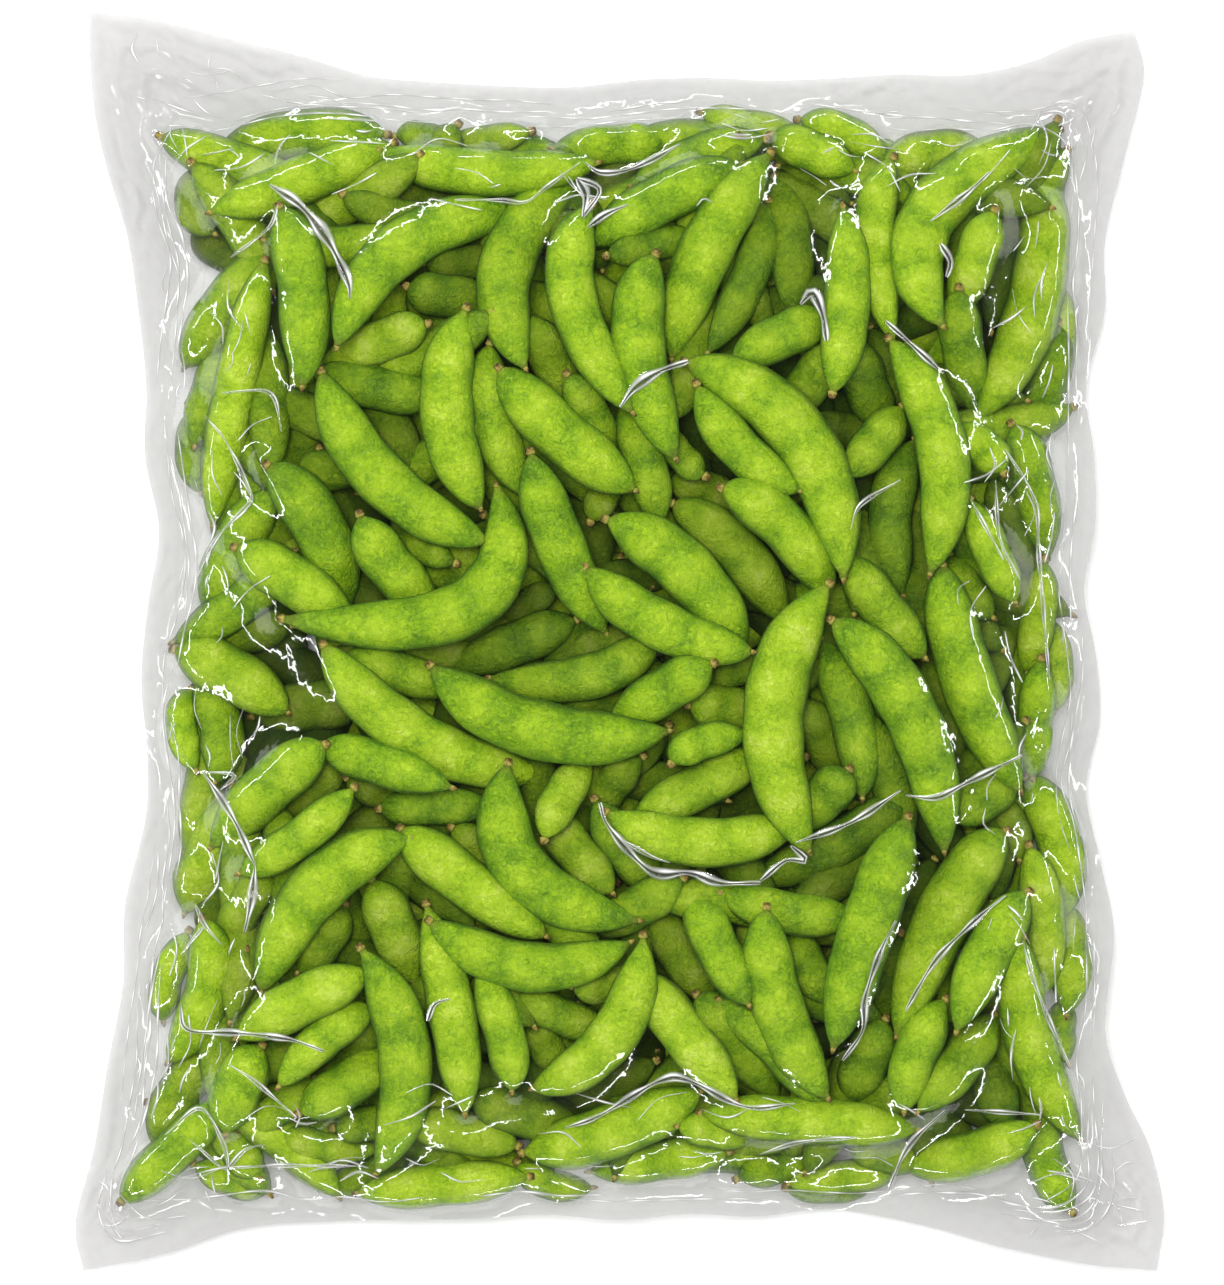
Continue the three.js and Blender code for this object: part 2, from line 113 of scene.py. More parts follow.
# The studio: a white sweep under the pouch, a large soft light above it that leaves no mirror image
# in the film, and a ring of low narrow lights that draw the bright lines on its folds. The paper
# is matt and all but pure white, so the pouch seems to lie on nothing.
FLOOR_SIZE = 6.0
FLOOR_DROP = 0.0002
SOFT_LIGHT = ((-0.25, 0.35, 1.5), (1.1, 1.1), 28.5)  # place, size, watts
STRIP_COUNT = 8
STRIP_RING = (1.15, 0.48)  # its radius and height
STRIP_SIZE = (0.7, 0.035)
STRIP_WATTS = 2.4
STRIP_TURN = 0.3  # radians that the ring is turned by
SURROUND = 0.17  # light from all round, which the film doesn't mirror

floor_mesh = bpy.data.meshes.new("floor")
floor_corners = [(x * FLOOR_SIZE / 2, y * FLOOR_SIZE / 2) for x, y in ((-1, -1), (1, -1), (1, 1), (-1, 1))]
floor_mesh.from_pydata([(x, y, -FLOOR_DROP) for x, y in floor_corners], [], [(0, 1, 2, 3)])
floor = link_object("floor", floor_mesh)
paper, tree = new_material("white_paper_sweep")
paper_grain = add_node(tree, "ShaderNodeTexNoise", Scale=1 / 0.025, Detail=2.0)
paper_white = add_node(
    tree, "ShaderNodeValToRGB", stops=[(0.3, "#FBFBFB"), (0.7, "#FFFFFF")], Fac=paper_grain.outputs["Fac"]
)
shader = add_node(
    tree, "ShaderNodeBsdfPrincipled", Base_Color=paper_white.outputs["Color"], Roughness=0.9
)
add_node(tree, "ShaderNodeOutputMaterial", Surface=shader.outputs["BSDF"])
floor_mesh.materials.append(paper)

turns = np.linspace(STRIP_TURN, STRIP_TURN + 2 * np.pi, STRIP_COUNT, endpoint=False)
spots = [(STRIP_RING[0] * np.cos(turn), STRIP_RING[0] * np.sin(turn), STRIP_RING[1]) for turn in turns]
strips = [(spot, STRIP_SIZE, STRIP_WATTS) for spot in spots]
for number, (spot, size, watts) in enumerate([SOFT_LIGHT, *strips]):
    light = bpy.data.lights.new(f"light_{number}", "AREA")
    light.shape = "RECTANGLE"
    light.size, light.size_y = size
    light.energy = watts
    made = link_object(light.name, light)
    made.location = spot
    made.rotation_euler = (-Vector(spot)).to_track_quat("-Z", "Y").to_euler()
    made.visible_glossy = number > 0

world = bpy.data.worlds.new("white_surround")
bpy.context.scene.world = world
world.use_nodes = True
world.node_tree.nodes["Background"].inputs["Color"].default_value = (1, 1, 1, 1)
world.node_tree.nodes["Background"].inputs["Strength"].default_value = SURROUND
world.cycles_visibility.glossy = False
bpy.context.scene.view_settings.view_transform = "Standard"


# The films' two outlines: the pouch's cut edge, and the edge of its filling, clockwise from the
# top left corner. The pouch was filled, its air drawn out, and its four sides welded, so the
# filling ends well inside the cut edge and the margin between them is two webs in one.
FRONT_TOP = 31.0  # millimetres, inside of the front film over the middle
FRONT_RIM = 8.0  # and where the filling ends
FRONT_FALL = 6  # power of the shoulder between them: higher is squarer
RIM_FALL = 62.0  # how steeply it goes on down past the filling
BACK_RIM = 3.8  # rise of the back film where the filling ends
BACK_FLAT = 0.93  # share of the way out that lies flat
BACK_SOLID = 0.9  # thickness of the back film in the solids
SEAM_HEIGHT = 5.0
SEAM_WAVE = 1.6  # how far the margin waves up and down, this often in one turn
SEAM_WAVES = 7
GAP = 0.45  # left clear between the pods of the solids and the films

FILM_EDGE = [
    (86, 8), (155, 18), (228, 36), (298, 53), (369, 74), (440, 80), (510, 84), (575, 84), (640, 77),
    (705, 75), (770, 78), (835, 76), (900, 72), (965, 73), (1030, 60), (1081, 39), (1137, 28),
    (1146, 75), (1126, 158), (1107, 240), (1107, 310), (1088, 385), (1096, 455), (1097, 525),
    (1086, 590), (1098, 655), (1102, 720), (1088, 790), (1103, 865), (1116, 935), (1107, 1030),
    (1126, 1095), (1152, 1150), (1166, 1215), (1159, 1273),
    (1090, 1267), (1000, 1249), (940, 1232), (875, 1218), (820, 1212), (755, 1219), (690, 1216),
    (620, 1222), (545, 1217), (475, 1221), (405, 1222), (330, 1224), (240, 1231), (165, 1256), (81, 1273),
    (73, 1225), (92, 1150), (106, 1065), (121, 985), (123, 905), (143, 820), (145, 755), (139, 680),
    (146, 605), (157, 530), (143, 455), (144, 385), (136, 310), (125, 235), (104, 165), (90, 95),
]
CORNERS = (0, 16, 34, 49)  # the film edge's points at the four corners
FILL_EDGE = [
    (150, 128), (215, 122), (300, 103), (420, 112), (560, 118), (700, 104), (800, 108), (900, 120),
    (1000, 122), (1072, 118), (1084, 180), (1078, 300), (1076, 420), (1078, 500), (1068, 580),
    (1082, 680), (1064, 780), (1082, 870), (1096, 960), (1088, 1060), (1092, 1150), (1082, 1222),
    (1020, 1200), (940, 1192), (860, 1204), (760, 1200), (640, 1204), (520, 1204), (400, 1210),
    (300, 1206), (200, 1206), (108, 1212), (128, 1160), (146, 1080), (150, 1000), (168, 900),
    (172, 800), (162, 700), (182, 620), (186, 540), (170, 450), (168, 360), (180, 270), (160, 190),
]


def shares(a, b, x, y):
    """How many times the vectors a and b make up the point (x, y)."""
    area = a[..., 0] * b[..., 1] - a[..., 1] * b[..., 0]
    return (x * b[..., 1] - y * b[..., 0]) / area, (a[..., 0] * y - a[..., 1] * x) / area


film_outline = place(FILM_EDGE)
fill_outline = place(FILL_EDGE)
fill_ring = []
for edge in film_outline:
    first, second = shares(fill_outline, np.roll(fill_outline, -1, axis=0), *edge)
    side = np.argmax((first >= 0) & (second >= 0))
    fill_ring.append(edge / (first[side] + second[side]))
fill_ring = np.array(fill_ring)


def reach(x, y, ring=fill_ring):
    """0 at the middle of the pouch, 1 at a ring, where the filling ends, for arrays of points."""
    first, second = shares(ring, np.roll(ring, -1, axis=0), x[..., None], y[..., None])
    inside = (first >= 0) & (second >= 0)
    side = np.argmax(inside, axis=-1)[..., None]
    total = np.take_along_axis(first + second, side, axis=-1)[..., 0]
    return np.where(inside.any(axis=-1), total, 0.0)


def front_inside(rho):
    over = FRONT_RIM + (FRONT_TOP - FRONT_RIM) * (1 - np.minimum(rho, 1.0) ** FRONT_FALL)
    return np.where(rho > 1, FRONT_RIM - (rho - 1) * RIM_FALL, over)


def back_inside(rho):
    rise = np.maximum(0, (rho - BACK_FLAT) / (1 - BACK_FLAT))
    return BACK_SOLID + BACK_RIM * rise * rise


def seam_height(x, y):
    return SEAM_HEIGHT + SEAM_WAVE * np.sin(SEAM_WAVES * np.arctan2(y, x))


# How the pods lie. They were poured in and pressed flat by the film, so each one lies against the
# film or under the pods above it. Every row gives a pod's stem, middle and tip in pixels, topmost
# first, and its width in millimetres. Pods that press together are one cluster of the solids.
TOP_PODS = [
    (1060, 128, 928, 218, 941, 326, 15.5), (1043, 162, 1036, 300, 976, 421, 14.5),
    (832, 393, 847, 300, 843, 208, 12), (379, 150, 482, 172, 597, 162, 12.5),
    (583, 168, 508, 262, 525, 368, 14.5), (517, 214, 403, 246, 338, 347, 14),
    (280, 208, 303, 285, 303, 386, 13.5), (655, 256, 638, 345, 675, 458, 14),
    (770, 153, 706, 250, 672, 358, 14.5), (686, 363, 800, 437, 843, 578, 16),
    (889, 340, 942, 450, 930, 573, 13.5), (466, 310, 447, 410, 480, 508, 14),
    (322, 373, 382, 479, 487, 542, 14), (500, 370, 562, 436, 634, 490, 14.5),
    (284, 619, 470, 605, 497, 487, 14.5), (432, 666, 535, 729, 668, 731, 15.5),
    (828, 585, 773, 712, 808, 850, 16), (832, 621, 910, 712, 944, 850, 14.5),
    (942, 566, 968, 680, 1020, 790, 14.5), (508, 764, 524, 872, 638, 920, 15),
    (412, 838, 320, 885, 262, 990, 15), (362, 948, 406, 1060, 376, 1174, 14),
    (643, 936, 613, 1035, 533, 1088, 13), (907, 818, 868, 925, 833, 1047, 15),
    (523, 1154, 612, 1132, 700, 1092, 14.5), (701, 1114, 810, 1121, 917, 1130, 12.5),
    (1022, 938, 1030, 1040, 1082, 1141, 13), (1028, 893, 990, 948, 956, 1030, 13),
    (431, 921, 528, 966, 630, 942, 13), (325, 646, 418, 738, 548, 775, 14),
    (173, 650, 228, 672, 287, 712, 14), (402, 829, 462, 878, 545, 935, 13.5),
    (1006, 832, 950, 905, 897, 1035, 15.5), (586, 568, 660, 625, 751, 652, 13),
    (236, 548, 288, 577, 352, 620, 13.5), (269, 466, 320, 528, 346, 612, 14.5),
    (660, 630, 592, 676, 490, 678, 12), (607, 520, 686, 570, 742, 652, 15),
    (722, 489, 783, 525, 830, 597, 13.5), (847, 556, 882, 608, 924, 657, 12),
    (392, 143, 302, 180, 211, 212, 13), (354, 788, 300, 838, 240, 873, 10.5),
    (325, 745, 272, 785, 210, 848, 14), (372, 972, 303, 1000, 238, 1037, 13),
    (766, 908, 777, 1005, 827, 1097, 14), (265, 262, 233, 395, 212, 525, 11.5),
    (592, 205, 572, 295, 632, 412, 13), (742, 165, 662, 198, 592, 245, 13.5),
    (769, 201, 750, 275, 708, 353, 10.5), (995, 1015, 962, 1060, 918, 1110, 12.5),
    (1036, 1126, 975, 1155, 905, 1166, 12.5), (607, 812, 700, 842, 800, 820, 13),
    (682, 878, 640, 905, 590, 930, 11.5), (673, 504, 738, 552, 783, 622, 13),
    (531, 454, 560, 545, 606, 633, 13.5), (958, 290, 962, 345, 978, 412, 11.5),
    (252, 716, 312, 706, 365, 705, 13), (232, 800, 206, 858, 183, 914, 14),
]
SECOND_PODS = [
    (160, 135, 228, 160, 305, 182, 11.5), (765, 138, 700, 155, 632, 185, 11.5),
    (272, 250, 222, 308, 183, 366, 13), (893, 158, 875, 235, 893, 342, 11),
    (775, 175, 792, 240, 790, 310, 11.5), (994, 212, 976, 258, 955, 318, 11.5),
    (915, 440, 890, 515, 903, 595, 12), (490, 345, 493, 420, 526, 495, 12),
    (568, 376, 592, 415, 612, 455, 10), (527, 318, 552, 362, 577, 420, 11.5),
    (266, 320, 268, 400, 272, 478, 11), (427, 325, 385, 340, 322, 364, 11.5),
    (312, 370, 378, 388, 447, 398, 12), (275, 492, 234, 548, 206, 616, 13),
    (361, 516, 390, 565, 435, 608, 13), (290, 625, 245, 632, 193, 648, 11.5),
    (193, 672, 220, 728, 215, 782, 12), (712, 664, 668, 688, 608, 727, 12.5),
    (576, 620, 520, 642, 450, 668, 12), (697, 386, 740, 450, 799, 491, 11.5),
    (902, 407, 877, 440, 845, 477, 11), (820, 640, 852, 715, 862, 797, 12),
    (970, 500, 993, 555, 1015, 602, 10), (1042, 660, 1036, 720, 1034, 778, 10),
    (1045, 560, 1040, 615, 1028, 672, 9.5), (320, 745, 375, 762, 452, 787, 11.5),
    (381, 809, 430, 807, 492, 806, 10), (372, 880, 393, 925, 415, 985, 13),
    (202, 920, 208, 990, 168, 1062, 12.5), (427, 905, 452, 1010, 465, 1112, 12.5),
    (480, 965, 505, 1035, 512, 1090, 11), (765, 752, 702, 785, 634, 817, 12),
    (848, 770, 825, 795, 788, 828, 12), (690, 885, 716, 945, 748, 1003, 12),
    (721, 893, 790, 913, 855, 915, 11.5), (697, 995, 735, 1038, 778, 1100, 13),
    (640, 975, 682, 1030, 735, 1098, 13), (1028, 778, 1060, 840, 1065, 918, 12.5),
    (1050, 900, 1070, 950, 1068, 1015, 12), (912, 790, 835, 845, 748, 882, 12),
    (214, 1049, 178, 1093, 152, 1146, 12), (262, 1046, 238, 1087, 226, 1133, 13.5),
    (300, 1112, 345, 1086, 397, 1050, 12.5), (528, 1178, 442, 1186, 357, 1195, 11.5),
    (517, 1147, 458, 1132, 403, 1125, 11.5), (473, 1097, 522, 1116, 588, 1130, 12),
    (655, 1062, 608, 1086, 555, 1106, 10), (728, 1152, 660, 1162, 590, 1173, 11),
    (945, 1000, 916, 1052, 904, 1110, 12), (667, 141, 618, 143, 553, 147, 11),
    (772, 134, 812, 150, 855, 170, 11), (608, 256, 650, 246, 707, 232, 9),
    (344, 195, 400, 215, 480, 218, 9), (545, 838, 562, 797, 590, 760, 10.5),
    (1012, 425, 1035, 480, 1048, 560, 11.5), (622, 400, 645, 462, 658, 527, 11.5),
    (595, 800, 627, 850, 668, 892, 12), (513, 991, 560, 1015, 615, 1035, 10),
    (374, 1010, 328, 1034, 280, 1085, 10.5), (322, 1190, 368, 1176, 412, 1150, 9),
    (334, 1128, 362, 1125, 403, 1120, 9.5), (885, 1020, 866, 1062, 850, 1105, 12.5),
    (1000, 1045, 993, 1080, 1012, 1128, 12.5), (1015, 770, 985, 795, 950, 818, 13),
    (385, 133, 303, 132, 218, 147, 13), (885, 165, 932, 151, 990, 150, 12),
    (830, 318, 785, 335, 733, 362, 12), (408, 287, 445, 296, 502, 300, 11.5),
    (120, 1203, 172, 1152, 228, 1098, 11.5), (1073, 1213, 1048, 1165, 1038, 1105, 11),
]
# Pods that show only in the gaps.
DEEP_PODS = [
    (281, 1131, 320, 1147, 377, 1150, 8.5), (900, 935, 883, 985, 888, 1040, 10),
    (345, 655, 400, 672, 457, 690, 11), (800, 700, 820, 735, 840, 782, 11),
    (1003, 472, 985, 450, 955, 425, 10.5), (950, 555, 968, 590, 993, 617, 9.5),
    (958, 598, 978, 625, 1003, 650, 8.5), (1010, 623, 999, 655, 992, 700, 9),
    (925, 660, 942, 710, 962, 762, 9), (270, 868, 245, 905, 222, 945, 10.5),
    (642, 757, 612, 785, 597, 817, 10.5), (345, 765, 315, 785, 282, 818, 10),
    (655, 905, 680, 955, 715, 1000, 11.5), (935, 860, 908, 905, 890, 945, 9.5),
    (672, 762, 700, 742, 748, 735, 9.5), (690, 705, 722, 708, 767, 716, 12),
    (345, 905, 325, 940, 298, 972, 10.5), (315, 1080, 280, 1108, 243, 1130, 9.5),
    (213, 1118, 236, 1150, 258, 1178, 10.5), (922, 1098, 945, 1128, 975, 1147, 11),
    (850, 1142, 887, 1155, 932, 1160, 10.5), (897, 1174, 850, 1178, 790, 1185, 9),
    (738, 1180, 778, 1168, 825, 1165, 10), (678, 1125, 712, 1131, 752, 1140, 9.5),
    (1002, 958, 990, 985, 987, 1017, 9), (722, 1055, 753, 1080, 792, 1105, 11),
    (655, 1051, 625, 1053, 588, 1052, 7.5), (297, 482, 328, 470, 382, 458, 12),
    (243, 655, 290, 666, 338, 690, 11.5), (215, 165, 193, 200, 213, 232, 11),
    (193, 225, 222, 250, 265, 265, 10.5), (230, 345, 208, 390, 194, 445, 10),
    (425, 262, 462, 262, 507, 255, 9.5), (457, 124, 440, 150, 425, 185, 9),
    (530, 130, 488, 138, 440, 142, 8), (395, 135, 425, 135, 460, 150, 8),
    (702, 110, 748, 122, 800, 128, 8), (800, 118, 845, 130, 887, 157, 9.5),
    (1069, 148, 1050, 185, 1058, 240, 9), (1030, 190, 1004, 250, 992, 330, 9.5),
    (780, 165, 813, 180, 852, 202, 9.5), (853, 335, 866, 385, 887, 427, 12),
    (835, 345, 812, 380, 790, 408, 11.5), (870, 328, 890, 370, 907, 412, 9.5),
    (205, 405, 190, 445, 200, 492, 9), (348, 560, 362, 587, 387, 622, 9.5),
    (318, 488, 345, 520, 373, 560, 11.5), (455, 563, 425, 550, 395, 533, 7.5),
    (418, 563, 450, 578, 483, 602, 9), (190, 690, 180, 725, 195, 770, 8.5),
    (555, 588, 530, 602, 490, 625, 8), (591, 521, 606, 492, 627, 455, 9),
    (704, 476, 682, 457, 660, 425, 8), (668, 485, 705, 490, 742, 512, 10.5),
    (993, 478, 1012, 530, 1035, 590, 9.5), (1050, 618, 1060, 665, 1055, 712, 8),
    (932, 558, 916, 600, 935, 642, 9.5), (818, 590, 845, 608, 872, 642, 9.5),
    (813, 413, 845, 432, 882, 420, 10.5), (348, 778, 385, 793, 432, 795, 9),
    (235, 868, 214, 905, 204, 935, 9), (187, 933, 166, 980, 162, 1022, 8.5),
    (573, 985, 605, 985, 642, 972, 9.5), (543, 808, 575, 850, 612, 892, 11.5),
    (990, 800, 1012, 825, 1020, 860, 9), (788, 928, 806, 963, 827, 1002, 10.5),
    (703, 680, 735, 672, 768, 660, 8), (568, 655, 602, 642, 645, 638, 8),
    (560, 705, 605, 706, 652, 702, 9), (247, 698, 257, 732, 262, 772, 9.5),
    (453, 828, 480, 850, 507, 882, 9), (193, 1165, 230, 1182, 267, 1194, 9),
    (518, 1165, 547, 1185, 592, 1190, 8.5), (788, 1190, 830, 1192, 872, 1190, 7.5),
    (458, 1075, 490, 1080, 532, 1085, 9), (530, 1018, 545, 1045, 562, 1072, 9.5),
    (1070, 1000, 1062, 1032, 1069, 1064, 8), (1062, 285, 1063, 340, 1055, 402, 8),
    (990, 285, 1000, 320, 995, 370, 9), (380, 180, 420, 198, 465, 205, 8),
]
FLATNESS = 0.72  # thickness of a pod to its width
STEEPEST = 0.3  # slope of a pod that lies across another
SLOPE_STEPS = 24
STATIONS = 20  # steps along a pod, and places across it, where it is tested against its neighbours
ACROSS = np.array([-1, -0.8, -0.5, 0, 0.5, 0.8, 1])
LARGEST_CLUSTER = 6
TIGHT = 3.0  # millimetres of room within which a pod may join a cluster
BITE = 2.4  # how far it then presses in at most, and at least
FIRM_BITE = 1.2
FRONT_CLUSTERS = 42
MOST_CLUSTERS = 58
# A pod's width along its length, as the solids draw it.
PROFILE_AT = [0, 0.12, 0.36, 0.64, 0.88, 1]
PROFILE_WIDTH = [0.15, 0.58, 0.97, 1, 0.66, 0]
EVEN = np.linspace(0, 1, STATIONS + 1)

TRACED = [*TOP_PODS, *SECOND_PODS, *DEEP_PODS]
pods = []
clusters = []
laid = {name: np.zeros((0, STATIONS + 1)) for name in ("x", "y", "z", "radius")}


class Pod:
    """One pod: its plan curve, its width, and stations along it with their heights."""

    def __init__(self, row, turned):
        stem, middle, tip = place([row[0:2], row[2:4], row[4:6]]) * (-1 if turned else 1)
        self.ends = (stem, 2 * middle - (stem + tip) * 0.5, tip)
        self.width = row[6]
        self.order = TRACED.index(row) if row in TRACED else len(TRACED)
        knots = self.curve(np.array(PROFILE_AT))
        part = np.clip(np.searchsorted(PROFILE_AT, EVEN), 1, None)
        t0, t1 = np.array(PROFILE_AT)[part - 1], np.array(PROFILE_AT)[part]
        share = ((EVEN - t0) / (t1 - t0))[:, None]
        run = knots[part] - knots[part - 1]
        points = knots[part - 1] + run * share
        length = np.hypot(run[:, 0], run[:, 1])
        self.x, self.y = points.T
        self.side = np.stack([-run[:, 1] / length, run[:, 0] / length])
        self.radius = self.width / 2 * np.interp(EVEN, PROFILE_AT, PROFILE_WIDTH)
        steps = np.hypot(np.diff(self.x), np.diff(self.y))
        self.length = steps.sum()
        self.along = np.concatenate([[0], np.cumsum(steps)]) - self.length / 2
        self.cluster = None

    def curve(self, t):
        stem, pull, tip = self.ends
        t = np.asarray(t)[:, None]
        return (1 - t) ** 2 * stem + 2 * t * (1 - t) * pull + t * t * tip

    def settle(self, line, up):
        height, slope = line
        self.line, self.up = line, up
        self.z = up * (height + slope * self.along)


def spacing(pod, others, gap):
    """How far a pod's stations must keep from those of others in height, 0 where they pass."""
    dx = pod.x[:, None, None] - others["x"]
    dy = pod.y[:, None, None] - others["y"]
    wide = np.maximum(0, pod.radius[:, None, None] + others["radius"] + gap)
    left = wide * wide - dx * dx - dy * dy
    return FLATNESS * np.sqrt(np.maximum(left, 0))


def film_sections(pod):
    rho = reach(pod.x[:, None] + ACROSS * (pod.radius * pod.side[0])[:, None],
                pod.y[:, None] + ACROSS * (pod.radius * pod.side[1])[:, None])
    return rho, FLATNESS * pod.radius[:, None] * np.sqrt(1 - ACROSS * ACROSS)


def film_limits(pod, up):
    rho, rise = film_sections(pod)
    film = front_inside(rho) if up > 0 else -back_inside(rho)
    return (film - GAP - rise).min(axis=1)


def picked(which):
    return {name: values[which] for name, values in laid.items()}


def pod_limits(pod, which, gap, up):
    others = picked(which)
    apart = spacing(pod, others, gap)
    return np.where(apart > 0, up * others["z"] - apart, np.inf).min(axis=2)


def highest_line(pod, limits):
    slopes = STEEPEST * np.arange(-SLOPE_STEPS / 2, SLOPE_STEPS / 2 + 1) / (SLOPE_STEPS / 2)
    heights = (limits - slopes[:, None] * pod.along).min(axis=1)
    best = np.argmax(heights)
    return heights[best], slopes[best]


def fits(pod, up, gap, film_gap=GAP):
    rho, rise = film_sections(pod)
    film = back_inside(rho) if up > 0 else -front_inside(rho)
    if ((up * pod.z)[:, None] - rise < film + film_gap).any():
        return False
    far = [k for k, other in enumerate(pods) if other.up != up]
    if not far:
        return True
    others = picked(far)
    apart = spacing(pod, others, gap)
    return not ((apart > 0) & (up * (pod.z[:, None, None] - others["z"]) < apart)).any()


def bite(pod, cluster):
    others = picked([pods.index(other) for other in cluster])
    dx = pod.x[:, None, None] - others["x"]
    dy = pod.y[:, None, None] - others["y"]
    dz = (pod.z[:, None, None] - others["z"]) / FLATNESS
    return (pod.radius[:, None, None] + others["radius"] - np.sqrt(dx * dx + dy * dy + dz * dz)).max()


def choices(touched):
    """The clusters that a pod may join, several at a time where it can tie them together."""
    count = range(len(touched))
    pairs = [(i, j) for i in count for j in count if i < j]
    threes = [(i, j, k) for i, j in pairs for k in count if k > j]
    groups = [[touched[i] for i in group] for group in [*threes, *pairs, *[(i,) for i in count]]]
    return [group for group in groups if sum(map(len, group)) < LARGEST_CLUSTER]


def lay_down(pod):
    pods.append(pod)
    for name in laid:
        laid[name] = np.vstack([laid[name], getattr(pod, name)])


def merge(group):
    first = group[0]
    for cluster in group[1:]:
        for pod in cluster:
            pod.cluster = first
        first.extend(cluster)
        clusters[:] = [kept for kept in clusters if kept is not cluster]
    return first


def add_pod(row, up, most_clusters):
    pod = Pod(row, up < 0)
    near = [k for k, other in enumerate(pods) if other.up == up]
    film = film_limits(pod, up)
    clear = pod_limits(pod, near, GAP, up) if near else np.zeros((STATIONS + 1, 0))
    meets = np.isfinite(clear).any(axis=0)
    near = [k for k, met in zip(near, meets) if met]
    clear = clear[:, meets]
    line = highest_line(pod, np.minimum(film, clear.min(axis=1, initial=np.inf)))
    room = (clear - line[0] - (line[1] * pod.along)[:, None]).min(axis=0, initial=np.inf)
    touched = []
    for k in sorted(range(len(near)), key=lambda k: room[k]):
        cluster = pods[near[k]].cluster
        if room[k] < TIGHT and not any(cluster is seen for seen in touched):
            touched.append(cluster)
    for group in choices(touched):
        pressed = clear.copy()
        inside = [i for i, k in enumerate(near) if any(pods[k].cluster is c for c in group)]
        pressed[:, inside] = pod_limits(pod, [near[i] for i in inside], -BITE, up)
        pod.settle(highest_line(pod, np.minimum(film, pressed.min(axis=1))), up)
        if all(bite(pod, cluster) >= FIRM_BITE for cluster in group) and fits(pod, up, GAP):
            pod.cluster = merge(group)
            break
    if pod.cluster is None:
        if len(clusters) >= most_clusters:
            return False
        pod.settle(line, up)
        if not fits(pod, up, GAP):
            return False
        pod.cluster = []
        clusters.append(pod.cluster)
    pod.cluster.append(pod)
    lay_down(pod)
    return True


# The pods of the solids come first, in the solids' own order.
unplaced = [row for row in TOP_PODS if not add_pod(row, 1, MOST_CLUSTERS)]
loose = [row for row in SECOND_PODS if not add_pod(row, 1, 0)]
unplaced += [row for row in loose if not add_pod(row, 1, FRONT_CLUSTERS)]
under_unplaced = [row for row in TOP_PODS if not add_pod(row, -1, MOST_CLUSTERS)]
solid_pods = len(pods)

# Then the rest of the filling, nestled a little deeper into its neighbours.
# Millimetres of room to the pods above, tried in turn: below 0 the pods press together.
FRONT_NESTLES = (-0.9, -2.2, -3.6, -5.0, -6.5)
UNDER_NESTLES = (-0.9, -2.2)
PRESS_MORE = 1.7  # millimetres more into the pods that lie against the other film
FILM_PRESS = -0.3  # room to the far film
FILM_STRETCH = 3.2  # how far a traced pod at the rim may push either film out, millimetres
GAP_STEP = 12  # pixels between the spots that are looked at for a gap
GAP_POD = (75, 11.5)  # pixels from its middle to its end, and width in millimetres
GAP_BEND = 0.12
GAP_COLUMNS = (160, 1090)  # pixels between which gaps are looked for
GAP_ROWS = (130, 1210)
GAP_REACH = 0.96  # share of the way out up to which they are filled
COVER = 0.85  # share of a pod's width that hides what is under it
chance = np.random.default_rng(5)


def add_filler(row, up, stretches=(0.0,)):
    """Lay a pod as high as the pods above it let it, pressed in further only where it must be."""
    pod = Pod(row, up < 0)
    above = [other.up == up and (up < 0 or other.order <= pod.order) for other in pods]
    near = np.flatnonzero(above)
    nestles = FRONT_NESTLES if up > 0 else UNDER_NESTLES
    for stretch, nestle in [(stretch, nestle) for stretch in stretches for nestle in nestles]:
        others = pod_limits(pod, near, nestle, up).min(axis=1, initial=np.inf)
        pod.settle(highest_line(pod, np.minimum(film_limits(pod, up) + stretch, others)), up)
        if fits(pod, up, nestle - PRESS_MORE, FILM_PRESS - stretch):
            lay_down(pod)
            return


def covered(x, y):
    return (np.hypot(laid["x"] - x, laid["y"] - y) < COVER * laid["radius"]).any()


for rows, up in ((unplaced, 1), (DEEP_PODS, 1), (under_unplaced, -1), (SECOND_PODS, -1), (DEEP_PODS, -1)):
    for row in rows:
        add_filler(row, up, (0.0, FILM_STRETCH) if up > 0 else (0.0,))
traced_pods = len(pods)
for x in range(*GAP_COLUMNS, GAP_STEP):
    for y in range(*GAP_ROWS, GAP_STEP):
        middle = place([(x, y)])[0]
        if reach(*middle) < GAP_REACH and not covered(*middle):
            turn = chance.uniform(0, np.pi)
            dx, dy = GAP_POD[0] * np.cos(turn), GAP_POD[0] * np.sin(turn)
            bend = (x + GAP_BEND * dy, y - GAP_BEND * dx)
            add_filler((x - dx, y - dy, *bend, x + dx, y + dy, GAP_POD[1]), 1)


# The pods: green soybean pods, blanched and frozen whole. Each is a curved, flattened tube that
# swells over its two to four beans, with a seam down either side, a woody stalk end and a dry beak.
POD_RINGS = 34
POD_SIDES = 20
HIDDEN_RINGS = 20  # for the pods of the underside and those seen only in gaps
HIDDEN_SIDES = 12
LOWEST = 0.3  # millimetres over the floor, where the pods' undersides are pressed flat on the film
FULLNESS = (3.5, 3.0)  # how long the pod keeps its width, at its stalk half and its beak half
BLUNTNESS = ((0.55, 0.95), (0.55, 0.85))  # how it narrows there, the least and most of a seeded draw
NECK = 0.13  # least size of its ends, to its full size
BEAN_LENGTH = 19.0
BEAN_ROOM = (0.1, 0.82)  # share of the pod before its beans, and along them
BEAN_SPREAD = 0.34
BEAN_DIP = 0.07  # how far the width, and the thickness, fall between two beans
BEAN_HOLLOW = 0.16
SEAM_RIDGE = 0.035
SEAM_WIDTH = 0.26
SEAM_ROLL = 0.35  # radians that a pod may be rolled by, either way
